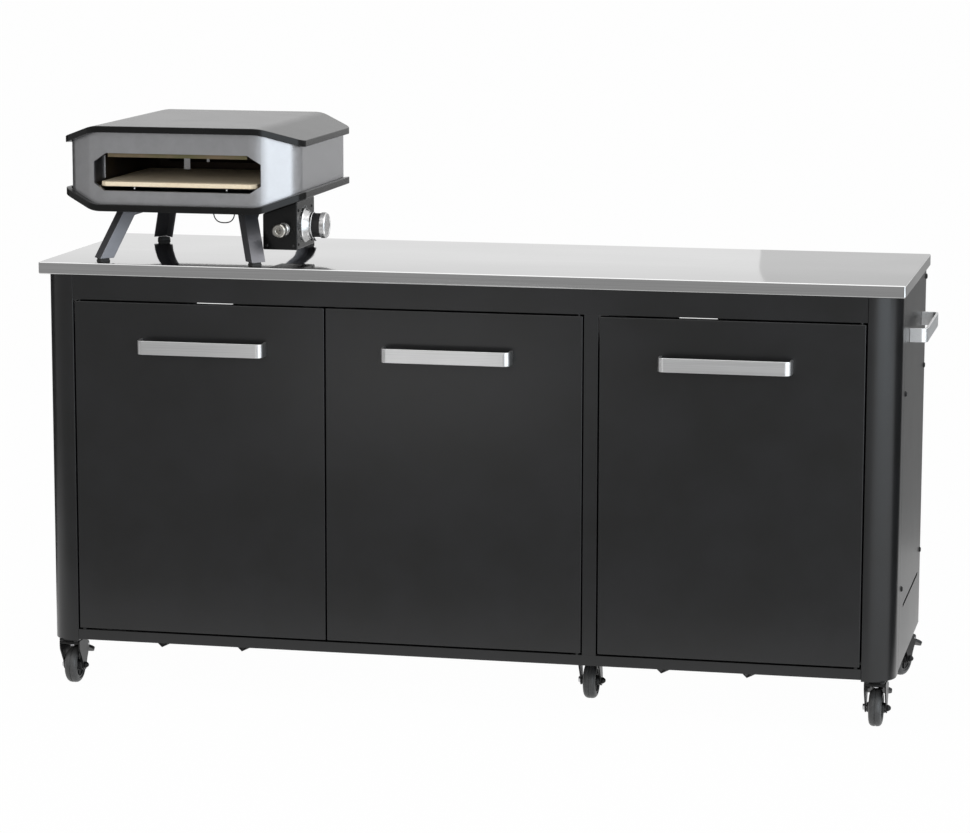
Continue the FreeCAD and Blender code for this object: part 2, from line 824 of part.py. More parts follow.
# Burner pipe: up from the valve, back along the right side, then across the rear
def make_burner():
    r = burner_bend
    dip = r * (1 - math.sqrt(0.5))
    first = Vector(burner_x, burner_start_y, valve_top)
    rise = Vector(burner_x, burner_start_y, burner_level)
    back = Vector(burner_x, burner_back_y, burner_level)
    last = Vector(burner_end_x, burner_back_y, burner_level)
    up_end = rise - z_axis * r
    run_start = rise + y_axis * r
    run_end = back - y_axis * r
    cross_start = back - x_axis * r
    edges = [Part.makeLine(first, up_end),
             arc(up_end, rise + y_axis * dip - z_axis * dip, run_start),
             Part.makeLine(run_start, run_end),
             arc(run_end, back - x_axis * dip - y_axis * dip, cross_start),
             Part.makeLine(cross_start, last)]
    path = Part.Wire(edges)

    def pipe(radius):
        ring = Part.Wire(Part.makeCircle(radius, first, z_axis))
        return path.makePipeShell([ring], True, False)

    end_cap = rod(burner_radius, last, last - x_axis * oven_sheet)
    return fuse(pipe(burner_radius).cut(pipe(burner_bore)), end_cap)


def make_control_box():
    bend = oven_width / 2 - oven_chamfer_x
    slope = tray_rise / oven_chamfer_x

    def block(inset):
        left = box_left + inset
        right = box_right - inset
        low = box_bottom + inset
        wing = tray_bottom + (right - bend) * slope
        outline = [(left, low), (right, low), (right, wing), (bend, tray_bottom), (left, tray_bottom)]
        length = box_back - box_front - 2 * inset
        return prism([Vector(x, box_front + inset, z) for x, z in outline], y_axis * length)

    casing = block(0).cut(block(sheet))
    stem_hole = rod(stem_radius + pipe_gap, on_knob_axis(valve_right), on_knob_axis(bezel_end))
    inlet_hole = rod(inlet_neck_radius, Vector(inlet_x, box_front, inlet_z),
                     Vector(inlet_x, box_front + sheet, inlet_z))
    return casing.cut(stem_hole).cut(inlet_hole)


# Gas inlet: the valve block inside the box, and the union that stands out of the box's front
def make_gas_inlet():
    block = box(valve_left, valve_right, valve_front, valve_back, valve_bottom, valve_top)
    seat = on_knob_axis(stem_start - stem_stroke - pipe_gap)
    block = block.cut(rod(stem_radius + running_clearance, seat, on_knob_axis(valve_right)))
    inner = Vector(inlet_x, valve_front, inlet_z)
    face = Vector(inlet_x, box_front, inlet_z)
    flange_end = face - y_axis * inlet_flange
    neck_end = flange_end - y_axis * inlet_neck
    collar_end = neck_end - y_axis * inlet_collar
    supply = rod(inlet_neck_radius - hole_clearance, face, inner)
    flange = rod(inlet_flange_radius, face, flange_end)
    neck = rod(inlet_neck_radius, flange_end, neck_end)
    collar = rod(inlet_collar_radius, neck_end, collar_end)
    fitting = fuse(block, supply, flange, neck, collar)
    return fitting.cut(rod(inlet_thread_radius, collar_end, collar_end + y_axis * inlet_thread_depth))


def make_bezel():
    flange = rod(bezel_flange_radius, on_knob_axis(box_right), on_knob_axis(box_right + bezel_flange))
    cup = rod(bezel_radius, on_knob_axis(box_right), on_knob_axis(bezel_end))
    floor = on_knob_axis(box_right + bezel_flange)
    bezel = fuse(flange, cup).cut(rod(knob_grip_radius + 2 * rest_gap, floor, on_knob_axis(bezel_end)))
    return bezel.cut(rod(stem_radius + pipe_gap, on_knob_axis(box_right), floor))


def make_knob():
    grip = rod(knob_grip_radius, on_knob_axis(knob_grip_start), on_knob_axis(knob_cap_start))
    cap = rod(knob_cap_radius, on_knob_axis(knob_cap_start), on_knob_axis(knob_end))
    circles = [edge for edge in cap.Edges if len(edge.Vertexes) == 1]
    rim = [edge for edge in circles if edge.CenterOfMass.x > knob_cap_start + pipe_gap]
    knob = fuse(grip, cap.makeFillet(knob_cap_round, rim))
    bore_start = on_knob_axis(knob_grip_start)
    bore_end = on_knob_axis(knob_grip_start + knob_bore_depth)
    return knob.cut(rod(stem_radius + running_clearance, bore_start, bore_end))


def make_igniter_lead():
    centre = Vector(lead_x, lead_y, tray_bottom - lead_radius)
    first = centre - x_axis * lead_loop
    last = centre + x_axis * lead_loop
    path = Part.Wire([arc(first, centre - z_axis * lead_loop, last)])
    ring = Part.Wire(Part.makeCircle(lead_radius, first, z_axis))
    return path.makePipeShell([ring], True, False)


# Legs: sheet folded along an outward ridge, splayed out towards the foot, with a gusset flange at the top
def leg_corner(sign_x, sign_y, ridge, z):
    fold = math.radians(leg_fold)
    left = Vector(-math.cos(fold), sign_y * -math.sin(fold), 0)
    right = Vector(math.cos(fold), sign_y * -math.sin(fold), 0)
    start = Vector(sign_x * ridge[0], sign_y * ridge[1], z)
    return start, left, right


def make_leg(sign_x, sign_y):
    foot_top = worktop_height + foot_height
    knee = tray_bottom - leg_gusset_height
    share = (knee - foot_top) / (tray_bottom - foot_top)
    foot_end, tray_end = leg_ridges[sign_y]
    middle = [b + (t - b) * share for b, t in zip(foot_end, tray_end)]
    flare = leg_gusset_beside_box if sign_x > 0 else leg_gusset
    levels = ((foot_end, foot_top, 0.0), (middle, knee, 0.0), (tray_end, tray_bottom, flare))
    pieces = []
    for lower, upper in zip(levels, levels[1:]):
        wires = []
        for ridge, z, gusset in (lower, upper):
            start, left, right = leg_corner(sign_x, sign_y, ridge, z)
            reach = leg_flange + gusset
            outline = [(0, 0), (leg_flange, 0), (leg_flange, leg_sheet), (leg_sheet, leg_sheet),
                       (leg_sheet, reach), (0, reach)]
            points = [start + left * across + right * along for across, along in outline]
            wires.append(Part.makePolygon(points + points[:1]))
        pieces.append(Part.makeLoft(wires, True, True))
    return fuse(*pieces)


def make_foot(sign_x, sign_y):
    start, left, right = leg_corner(sign_x, sign_y, leg_ridges[sign_y][0], worktop_height)
    edge = leg_sheet / 2
    low = start + left * edge + right * edge
    points = [low, low + left * foot_size, low + (left + right) * foot_size, low + right * foot_size]
    return prism(points, z_axis * foot_height)


def write_oven():
    def place(shape):
        return moved(shape, oven_x, oven_y, 0)

    corners = [(sx, sy) for sx in (-1, 1) for sy in (-1, 1)]
    write("oven_lid", place(make_lid()))
    write("oven_shell", place(make_shell()))
    write("oven_tray", place(make_tray()))
    write("oven_liner", place(make_liner()))
    write("oven_burner", place(make_burner()))
    write("oven_stone", place(make_stone()))
    write("oven_legs", *[place(make_leg(sx, sy)) for sx, sy in corners])
    write("oven_feet", *[place(make_foot(sx, sy)) for sx, sy in corners])
    write("oven_control_box", place(make_control_box()))
    write("oven_gas_inlet", place(make_gas_inlet()))
    write("oven_bezel", place(make_bezel()))
    write("oven_valve_stem", place(rod(stem_radius, on_knob_axis(stem_start), on_knob_axis(stem_end))))
    write("oven_knob", place(make_knob()))
    write("oven_igniter_lead", place(make_igniter_lead()))


def write_cabinet():
    post = without_side_bolt_holes(without_caster_holes(make_front_post()))
    rear = without_side_bolt_holes(without_caster_holes(make_rear_post()))
    panel = without_side_bolt_holes(make_side_panel())
    write("worktop", make_worktop())
    write("worktop_stiffeners", *make_stiffeners())
    write("front_right_post", post)
    write("front_left_post", mirrored(post))
    write("rear_posts", rear, mirrored(rear))
    write("centre_post", make_centre_post())
    write("top_rail", make_rail(top_rail_bottom, carcass_top, top_rail_bottom))
    write("bottom_rail", make_rail(bottom_rail_bottom, bottom_rail_top, bottom_rail_top - sheet))
    write("right_side_panel", panel)
    write("left_side_panel", mirrored(panel))
    write("back_panel", make_back_panel())
    write("floor_panel", make_floor())
    write("partition", make_partition())
    write("side_handles", *make_side_handles())
    write("cabinet_bolts", *make_bolts())
    write("door_pivot_pins", *make_pivot_pins())
    write("magnetic_catches", *make_catches())


os.makedirs("parts", exist_ok=True)
write_cabinet()
for door_name, (door_start, door_sign) in door_edges().items():
    write_door(door_name, door_start, door_sign)
write_casters()
write_oven()
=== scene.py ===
import math

import bmesh
import bpy
from mathutils import Matrix, Quaternion, Vector


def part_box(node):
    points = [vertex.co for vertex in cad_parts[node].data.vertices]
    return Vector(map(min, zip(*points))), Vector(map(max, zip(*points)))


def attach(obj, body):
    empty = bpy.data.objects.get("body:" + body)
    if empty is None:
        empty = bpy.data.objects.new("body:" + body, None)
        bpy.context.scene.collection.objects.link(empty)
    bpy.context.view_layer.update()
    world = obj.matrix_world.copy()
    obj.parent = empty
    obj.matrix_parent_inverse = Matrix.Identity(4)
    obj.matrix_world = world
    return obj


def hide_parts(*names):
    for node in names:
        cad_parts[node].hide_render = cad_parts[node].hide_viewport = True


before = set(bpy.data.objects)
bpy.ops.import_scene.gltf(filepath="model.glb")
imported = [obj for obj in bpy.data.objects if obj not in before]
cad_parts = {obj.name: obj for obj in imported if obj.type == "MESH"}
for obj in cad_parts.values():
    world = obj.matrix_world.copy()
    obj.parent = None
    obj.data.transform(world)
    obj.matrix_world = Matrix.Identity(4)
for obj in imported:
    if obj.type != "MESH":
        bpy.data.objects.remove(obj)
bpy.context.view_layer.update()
scene = bpy.context.scene
scene.view_settings.view_transform = "Standard"
xAxis, yAxis, zAxis = Vector((1, 0, 0)), Vector((0, 1, 0)), Vector((0, 0, 1))


def added(name, data):
    item = bpy.data.objects.new(name, data)
    scene.collection.objects.link(item)
    return item


def adjust(item, **settings):
    for setting, value in settings.items():
        setattr(item, setting, value)


def pick(sizes, *keys):
    return [sizes[key] for key in keys]


# camera, solved from the photograph's edges, in metres and degrees
viewpoint = {"place": (1.5685, -7.24795, 1.8081), "target": (-0.0105, 0.01725, 0.5947),
             "roll": 0.119, "lens": 125.72, "sensor": 36, "farthest": 100}


def makeCamera():
    camera = added("camera", bpy.data.cameras.new("camera"))
    lens, sensor, farthest = pick(viewpoint, "lens", "sensor", "farthest")
    adjust(camera.data, lens=lens, sensor_width=sensor, clip_end=farthest)
    camera.location = viewpoint["place"]
    look = Vector(viewpoint["target"]) - Vector(viewpoint["place"])
    camera.rotation_mode = "QUATERNION"
    roll = Quaternion(zAxis, math.radians(viewpoint["roll"]))
    camera.rotation_quaternion = look.to_track_quat("-Z", "Y") @ roll
    scene.camera = camera


makeCamera()
print("camera placed")


# one socket of a node tree: sums and products of wires become Math nodes
class Wire:
    def __init__(self, tree, socket):
        self.tree = tree
        self.socket = socket

    def node(self, kind, settings, inputs, output=0):
        made = self.tree.nodes.new(kind)
        for name, value in settings.items():
            if name == "stops":
                elements = made.color_ramp.elements
                for index, (place, colour) in enumerate(value):
                    element = elements[index] if index < 2 else elements.new(place)
                    element.position = place
                    element.color = colour
            else:
                setattr(made, name, value)
        for name, value in inputs.items():
            if isinstance(value, Wire):
                self.tree.links.new(value.socket, made.inputs[name])
            else:
                made.inputs[name].default_value = value
        return Wire(self.tree, made.outputs[output])

    def math(self, operation, first, second):
        return self.node("ShaderNodeMath", {"operation": operation}, {0: first, 1: second})

    def __add__(self, other):
        return self.math("ADD", self, other)

    def __sub__(self, other):
        return self.math("SUBTRACT", self, other)

    def __rsub__(self, other):
        return self.math("SUBTRACT", other, self)

    def __mul__(self, other):
        return self.math("MULTIPLY", self, other)

    __radd__, __rmul__ = __add__, __mul__


def grey(level, blue=0):
    return (level, level, level * (1 + blue), 1)


def grain(place, scale, stretch=(1, 1, 1), detail=3):
    spread = place.node("ShaderNodeMapping", {}, {"Vector": place, "Scale": stretch})
    return place.node("ShaderNodeTexNoise", {},
                      {"Vector": spread, "Scale": scale, "Detail": detail, "Roughness": 0.6})


def widened(wire, low, high):
    return wire.node("ShaderNodeMapRange", {}, {"Value": wire, "From Min": low, "From Max": high})


def between(wire, first, second):
    return wire.node("ShaderNodeMix", {"data_type": "RGBA"}, {0: wire, 6: first, 7: second}, output=2)


def relief(wire, strength, depth, under=None):
    inputs = {"Height": wire, "Strength": strength, "Distance": depth}
    if under:
        inputs["Normal"] = under
    return wire.node("ShaderNodeBump", {}, inputs)


def newMaterial(name):
    material = bpy.data.materials.new(name)
    material.use_nodes = True
    return material, material.node_tree


# a recipe gives three wires: colour, roughness and normal
def newFinish(name, fixed, recipe):
    material, tree = newMaterial(name)
    shader = tree.nodes["Principled BSDF"]
    for socket, value in fixed.items():
        shader.inputs[socket].default_value = value
    place = Wire(tree, tree.nodes.new("ShaderNodeTexCoord").outputs["Object"])
    for socket, wire in zip(("Base Color", "Roughness", "Normal"), recipe(place)):
        tree.links.new(wire.socket, shader.inputs[socket])
    return material


# powder coat and enamel: near-even colour, a fine pebble and soft patches of gloss
def coated(dark, light, rough, pebble, patch=9):
    def recipe(place):
        cloud = widened(grain(place, patch), 0.35, 0.65)
        skin = grain(place, pebble["scale"], detail=2)
        return (between(cloud, dark, light), rough + 0.012 * cloud + 0.03 * skin,
                relief(skin, pebble["strength"], pebble["depth"]))
    return recipe


# sheet or bar brushed one way: the grain is drawn out along the brush lines
brushGrain = {"along": 3, "across": 900}


def brushed(dark, light, rough, spread, along, wave=0, crown=None):
    def recipe(place):
        stretch = [brushGrain["along" if letter == along else "across"] for letter in "xyz"]
        lines = widened(grain(place, 1, stretch, 4), 0.3, 0.7)
        smears = widened(grain(place, 5), 0.35, 0.7)
        sheet = relief(grain(place, 2.6, detail=1), 1, wave)
        if crown:
            deep = place.node("ShaderNodeSeparateXYZ", {}, {0: place}, output=1)
            sag = widened(deep, crown["start"], crown["end"])
            sheet = relief(1 - sag * sag, 1, crown["depth"], sheet)
        return (between(lines, dark, light), rough + 0.6 * spread * lines + 0.4 * spread * smears,
                relief(lines, 0.05, 0.0001, sheet))
    return recipe


def speckled(dark, light, scale, rough, bump):
    def recipe(place):
        fine = widened(grain(place, scale), 0.3, 0.7)
        broad = widened(grain(place, scale / 25), 0.3, 0.7)
        return (between(0.5 * fine + 0.5 * broad, dark, light), rough + 0.08 * broad,
                relief(fine, bump, 0.00004))
    return recipe


# baking stone: pale cordierite with pits, freckles and warm patches
def stoneLook(place):
    fine = widened(grain(place, 420), 0.3, 0.7)
    patches = widened(grain(place, 14), 0.3, 0.75)
    pits = place.node("ShaderNodeTexVoronoi", {}, {"Vector": place, "Scale": 300})
    freckles = 1 - widened(pits, 0.06, 0.22)
    clay = between(patches, (0.88, 0.77, 0.58, 1), (0.82, 0.69, 0.50, 1))
    grit = between(0.3 * fine, clay, (0.66, 0.53, 0.37, 1))
    return (between(0.4 * freckles, grit, (0.50, 0.39, 0.27, 1)), 0.82 + 0.12 * fine,
            relief(fine - freckles, 0.35, 0.0002))


# sheet steel that heat has tinted straw and brown, in clouds
def heatLook(place):
    cloud = widened(grain(place, 11), 0.3, 0.7)
    lines = grain(place, 1, (700, 3, 700), 3)
    tint = cloud.node("ShaderNodeValToRGB",
                      {"stops": [(0, (0.065, 0.055, 0.042, 1)), (1, (0.105, 0.078, 0.045, 1)),
                                 (0.55, (0.085, 0.066, 0.052, 1))]}, {"Fac": cloud})
    return tint, 0.32 + 0.14 * cloud + 0.06 * lines, relief(lines, 0.08, 0.0001)


# turned metal, with rings of tool marks round the knob's line
def ringLook(centre, dark, light, rough):
    def recipe(place):
        moved = place.node("ShaderNodeVectorMath", {"operation": "SUBTRACT"}, {0: place, 1: centre})
        rings = place.node("ShaderNodeTexWave", {"wave_type": "RINGS", "rings_direction": "X"},
                           {"Vector": moved, "Scale": 700, "Distortion": 1.5, "Detail": 2}, 1)
        smears = widened(grain(place, 60), 0.3, 0.7)
        return (between(rings, dark, light), rough + 0.05 * rings + 0.05 * smears,
                relief(rings, 0.05, 0.0001))
    return recipe


knobLine = Vector((-0.350, -0.12275, 1.028))
finePebble = {"scale": 520, "strength": 0.7, "depth": 0.00003}
castPebble = {"scale": 420, "strength": 0.8, "depth": 0.00006}
smoothSkin = {"scale": 500, "strength": 0.5, "depth": 0.00001}
metal = {"Metallic": 1}
sheetMetal = {"Metallic": 1, "Specular Tint": grey(0.86)}
# the worktop's shading falls away a little towards its front fold, as a bump only; the sheet itself stays
# flat
worktopCrown = {"start": -0.02, "end": -0.30, "depth": 0.0085}
# each finish: the shader's fixed inputs, and the recipe for those that vary
looks = {
    "cabinet_black": ({"Specular IOR Level": 0.48},
                      coated(grey(0.0088), grey(0.0112, 0.06), 0.27, finePebble)),
    "worktop_steel": (sheetMetal, brushed(grey(0.58), grey(0.70), 0.035, 0.05, "x", 0.004, worktopCrown)),
    "handle_aluminium": (metal, brushed(grey(0.70), grey(0.84), 0.28, 0.12, "x")),
    "side_handle_aluminium": ({"Metallic": 0.7}, brushed(grey(0.76), grey(0.88), 0.28, 0.12, "y")),
    "inner_steel": (metal, speckled(grey(0.42), grey(0.58, 0.04), 260, 0.38, 0.6)),
    "bolt_black": ({"Metallic": 0.6}, coated(grey(0.02), grey(0.035), 0.32, smoothSkin)),
    "catch_plastic": ({}, coated(grey(0.03), grey(0.04), 0.45, castPebble)),
    "caster_black": ({"Specular IOR Level": 0.22}, coated(grey(0.007), grey(0.011), 0.30, finePebble)),
    "caster_zinc": (metal, speckled(grey(0.48), grey(0.64, 0.03), 300, 0.24, 0.5)),
    "tyre_rubber": ({}, coated(grey(0.045), grey(0.068), 0.40, castPebble, 40)),
    "hub_plastic": ({}, coated(grey(0.02), grey(0.03), 0.38, castPebble)),
    "pedal_plastic": ({}, coated(grey(0.010), grey(0.016), 0.34, castPebble)),
    "oven_black": ({"Specular IOR Level": 0.26}, coated(grey(0.0052), grey(0.0072), 0.22, smoothSkin)),
    "oven_silver": ({"Metallic": 0.92}, speckled(grey(0.41, 0.02), grey(0.48, 0.03), 1500, 0.33, 0.8)),
    "liner_steel": ({"Metallic": 0.85}, heatLook),
    "baking_stone": ({"Specular IOR Level": 0.25}, stoneLook),
    "leg_grey": ({"Metallic": 0.88}, coated(grey(0.19, 0.06), grey(0.23, 0.08), 0.36, finePebble)),
    "foot_rubber": ({}, coated(grey(0.012), grey(0.02), 0.55, castPebble)),
    "gas_chrome": (metal, speckled(grey(0.55), grey(0.70), 200, 0.12, 0.3)),
    "gas_collar": (metal, coated((0.42, 0.41, 0.38, 1), (0.52, 0.50, 0.46, 1), 0.24, smoothSkin)),
    "tunnel_steel": ({"Metallic": 0.9}, coated(grey(0.10, 0.12), grey(0.14, 0.16), 0.30, smoothSkin, 30)),
    "edge_steel": ({"Metallic": 0.4}, speckled(grey(0.62), grey(0.78), 240, 0.25, 0.4)),
    "apron_steel": ({"Metallic": 0.3},
                    coated((0.11, 0.10, 0.045, 1), (0.17, 0.12, 0.075, 1), 0.38, smoothSkin, 12)),
    "knob_chrome": (metal, ringLook(knobLine, grey(0.58), grey(0.72), 0.20)),
    "knob_grip": ({}, coated(grey(0.012), grey(0.018), 0.42, castPebble)),
    "stem_brass": (metal, speckled((0.62, 0.44, 0.18, 1), (0.74, 0.55, 0.26, 1), 300, 0.25, 0.4)),
    "lead_black": ({}, coated(grey(0.014), grey(0.022), 0.40, smoothSkin)),
    "mark_white": ({}, coated(grey(0.70), grey(0.78), 0.45, smoothSkin)),
}
finishes = {name: newFinish(name, *look) for name, look in looks.items()}
print("finishes:", len(finishes))


# pieces are modelled in millimetres, and made metres when they are kept
perMetre = 1000
shapeLimits = {"fold": 40, "crease": 32, "facing": 0.9, "sameSpot": 0.001}


def cadBox(node):
    low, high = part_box(node)
    return Vector(low) * perMetre, Vector(high) * perMetre


def bevelled(bm, geom, width, segments, affect="EDGES"):
    bmesh.ops.bevel(bm, geom=geom, offset=width, offset_type="OFFSET", affect=affect, segments=segments,
                    profile=0.5, material=-1, clamp_overlap=affect == "EDGES")


def folds(bm, least=shapeLimits["fold"]):
    limit = math.radians(least)
    return [edge for edge in bm.edges if len(edge.link_faces) == 2 and edge.calc_face_angle() > limit]


def outward(bm):
    bmesh.ops.recalc_face_normals(bm, faces=bm.faces[:])
    return bm


def soften(bm, width, segments=2, least=shapeLimits["fold"]):
    outward(bm)
    if width:
        bevelled(bm, folds(bm, least), width, segments)
    return bm


def everything(bm):
    return bm.verts[:] + bm.edges[:] + bm.faces[:]


def openEdges(bm):
    return [edge for edge in bm.edges if edge.is_boundary]


def facing(bm, way):
    return [face for face in bm.faces if face.normal.dot(way) > shapeLimits["facing"]]


def newVerts(made):
    return [item for item in made["geom"] if isinstance(item, bmesh.types.BMVert)]


def block(low, high, edge=0.6, segments=2):
    low, high = Vector(low), Vector(high)
    bm = bmesh.new()
    bmesh.ops.create_cube(bm, size=1)
    bmesh.ops.scale(bm, vec=high - low, verts=bm.verts[:])
    bmesh.ops.translate(bm, vec=(low + high) / 2, verts=bm.verts[:])
    return soften(bm, edge, segments)


def roundCorners(bm, verts, setbacks, segments):
    for setback in sorted(set(setbacks) - {0}):
        corners = [vert for vert, own in zip(verts, setbacks) if own == setback]
        bevelled(bm, corners, setback, segments, "VERTICES")


def outlined(points, setbacks, segments):
    bm = bmesh.new()
    verts = [bm.verts.new(point) for point in points]
    bm.faces.new(verts)
    roundCorners(bm, verts, setbacks, segments)
    return bm


def pulled(bm, edges, along):
    made = bmesh.ops.extrude_edge_only(bm, edges=edges)
    bmesh.ops.translate(bm, vec=along, verts=newVerts(made))
    return bm


# a flat outline with rounded corners, pulled along a line
def plate(outline, along, setbacks, edge=0.5, segments=6):
    bm = outlined(outline, setbacks, segments)
    made = bmesh.ops.extrude_face_region(bm, geom=bm.faces[:])
    bmesh.ops.translate(bm, vec=along, verts=newVerts(made))
    return soften(bm, edge, least=60)


# an open line with rounded bends, pulled into a strip
def strip(path, along, setbacks, segments=10):
    bm = bmesh.new()
    verts = [bm.verts.new(point) for point in path]
    for pair in zip(verts, verts[1:]):
        bm.edges.new(pair)
    roundCorners(bm, verts[1:-1], setbacks, segments)
    return pulled(bm, bm.edges[:], along)


def thicken(bm, thickness):
    bmesh.ops.remove_doubles(bm, verts=bm.verts[:], dist=shapeLimits["sameSpot"])
    outward(bm)
    bmesh.ops.solidify(bm, geom=bm.faces[:], thickness=thickness)
    return bm


# a profile of (distance along the axis, radius) turned right round
def turned(profile, centre, axis, setback=0, steps=48, closed=False):
    centre, axis = Vector(centre), Vector(axis)
    side = axis.orthogonal().normalized()
    bm = bmesh.new()
    verts = [bm.verts.new(centre + axis * along + side * radius) for along, radius in profile]
    for pair in zip(verts, verts[1:] + verts[:1] if closed else verts[1:]):
        bm.edges.new(pair)
    corners = verts if closed else verts[1:-1]
    setbacks = setback if isinstance(setback, list) else [setback] * len(corners)
    roundCorners(bm, corners, setbacks, 4)
    bmesh.ops.spin(bm, geom=bm.verts[:] + bm.edges[:], cent=centre, axis=axis, angle=math.tau, steps=steps,
                   use_merge=True)
    bmesh.ops.remove_doubles(bm, verts=bm.verts[:], dist=shapeLimits["sameSpot"])
    return outward(bm)


def hexHead(centre, axis, radius, height):
    bm = bmesh.new()
    bmesh.ops.create_cone(bm, cap_ends=True, segments=6, radius1=radius, radius2=radius, depth=height)
    bmesh.ops.translate(bm, vec=zAxis * height / 2, verts=bm.verts[:])
    soften(bm, min(0.6, height / 5), least=50)
    turn = Vector(axis).to_track_quat("Z", "Y").to_matrix().to_4x4()
    return shifted(bm, Matrix.Translation(Vector(centre)) @ turn)


def shifted(bm, matrix):
    bmesh.ops.transform(bm, matrix=matrix, verts=bm.verts[:])
    return bm


def flipped(bm):
    bmesh.ops.scale(bm, vec=(-1, 1, 1), verts=bm.verts[:])
    return outward(bm)


# points on the right, and the same on the left in turn
def mirrored(points):
    return points + [(-x, y) for x, y in reversed(points)]


def meshOf(name, bm):
    mesh = bpy.data.meshes.new(name)
    bm.to_mesh(mesh)
    bm.free()
    return mesh


def joined(*shapes):
    whole = bmesh.new()
    for shape in shapes:
        mesh = meshOf("shape", shape)
        whole.from_mesh(mesh)
        bpy.data.meshes.remove(mesh)
    return whole


def modify(piece, name, kind, **settings):
    adjust(piece.modifiers.new(name, kind), **settings)


# large flat faces keep their own direction, and only the roundings bend the light
def steadyNormals(piece):
    modify(piece, "steady", "WEIGHTED_NORMAL", keep_sharp=True)


# a finished shape becomes a piece with its finish, and the CAD nodes it stands for are hidden
def keep(name, bm, body, finish, *nodes, slotName=None):
    slotName = slotName or finish
    bmesh.ops.scale(bm, vec=[1 / perMetre] * 3, verts=bm.verts[:])
    for face in bm.faces:
        face.smooth = True
    for edge in folds(bm, shapeLimits["crease"]):
        edge.smooth = False
    mesh = meshOf(name, bm)
    mesh.materials.append(finishes[finish])
    piece = added(name, mesh)
    steadyNormals(piece)
    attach(piece, body)
    if nodes:
        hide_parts(*nodes)


# CAD pieces that stay: their own finish, and a narrow rounding on the folded sheet's edges
dressSizes = {"weld": 0.00001, "flat": 0.5, "sharp": 50}


def dress(node, finish, edge=0):
    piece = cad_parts[node]
    for slot in piece.material_slots:
        slot.material = finishes[finish]
    if edge:
        modify(piece, "weld", "WELD", merge_threshold=dressSizes["weld"])
        modify(piece, "flat", "DECIMATE", decimate_type="DISSOLVE",
               angle_limit=math.radians(dressSizes["flat"]))
        modify(piece, "rounding", "BEVEL", width=edge, segments=2, limit_method="ANGLE",
               angle_limit=math.radians(dressSizes["sharp"]))
        steadyNormals(piece)


# worktop: sheet folded down on four sides, with a return turned in below
worktopSizes = {"sheet": 2, "fold": 3, "turnedIn": 18}


def makeWorktop():
    low, high = cadBox("worktop")
    bm = block(low, high, 0)
    under = facing(bm, -zAxis)
    bmesh.ops.inset_region(bm, faces=under, thickness=worktopSizes["turnedIn"])
    bmesh.ops.delete(bm, geom=under, context="FACES_ONLY")
    bevelled(bm, folds(bm), worktopSizes["fold"], 4)
    keep("worktop_sheet", thicken(bm, worktopSizes["sheet"]), "cabinet", "worktop_steel", "worktop")


makeWorktop()
dress("worktop_stiffeners", "inner_steel", 0.0006)
print("worktop folded")


# front posts: one sheet bent round the corner, with a jamb at the door, a base cap and a lap
postSizes = {"sheet": 2, "radius": 62, "fold": 2.5, "jamb": 34, "wallEnd": -177.75, "bendSteps": 14,
             "cap": 3, "capGap": 0.1, "lap": (-197.75, -127.75), "lapSheet": 1.9, "lapRise": 4}


def makePost(node, sign):
    low, high = cadBox("front_right_post")
    sheet, radius, wallEnd, steps = pick(postSizes, "sheet", "radius", "wallEnd", "bendSteps")
    path = [(low.x, low.y + postSizes["jamb"], low.z), (low.x, low.y, low.z), (high.x, low.y, low.z),
            (high.x, wallEnd, low.z)]
    wall = strip(path, zAxis * (high.z - low.z), [postSizes["fold"], radius], steps)
    thicken(wall, sheet)
    inset = sheet + postSizes["capGap"]
    capOutline = [(low.x + inset, low.y + inset, low.z), (high.x - inset, low.y + inset, low.z),
                  (high.x - inset, wallEnd, low.z), (low.x + inset, wallEnd, low.z)]
    cap = plate(capOutline, zAxis * postSizes["cap"], [0, radius - inset, 0, 0], 0, steps)
    lapInner = high.x - 2 * sheet
    lapFront, lapBack = postSizes["lap"]
    lap = block((lapInner, lapFront, low.z + postSizes["lapRise"]),
                (lapInner + postSizes["lapSheet"], lapBack, high.z), 0.4)
    post = joined(wall, cap, lap)
    keep(f"{node}_sheet", post if sign > 0 else flipped(post), "cabinet", "cabinet_black", node)


makePost("front_right_post", 1)
makePost("front_left_post", -1)
for node in ("top_rail", "bottom_rail", "centre_post", "right_side_panel", "left_side_panel", "back_panel",
             "floor_panel", "partition", "rear_posts"):
    dress(node, "cabinet_black", 0.0004)
dress("door_pivot_pins", "bolt_black")
dress("magnetic_catches", "catch_plastic", 0.0005)
print("carcass dressed")


# doors: a folded pan in front of its liner
doorSizes = {"sheet": 1.5, "fold": 2}
doorNames = ("left", "middle", "right")
# handles: flat bar bent at both ends, square to the face that carries it
handleSizes = {"bar": 5, "bend": 14, "edge": 1}


def makeDoorSkin(door):
    node = f"door_{door}_skin"
    low, high = cadBox(node)
    bm = block(low, high, 0)
    bmesh.ops.delete(bm, geom=facing(bm, yAxis), context="FACES_ONLY")
    bevelled(bm, folds(bm), doorSizes["fold"], 4)
    keep(f"door_{door}_pan", thicken(bm, doorSizes["sheet"]), f"door_{door}", "cabinet_black", node)


# built lying along X and reaching out to -Y, then turned to its face
def bentBar(length, height, reach):
    half = length / 2
    path = [(-half, 0, -height / 2), (-half, -reach, -height / 2), (half, -reach, -height / 2),
            (half, 0, -height / 2)]
    bar = strip(path, zAxis * height, [handleSizes["bend"]] * 2)
    return soften(thicken(bar, handleSizes["bar"]), handleSizes["edge"], 3, 60)


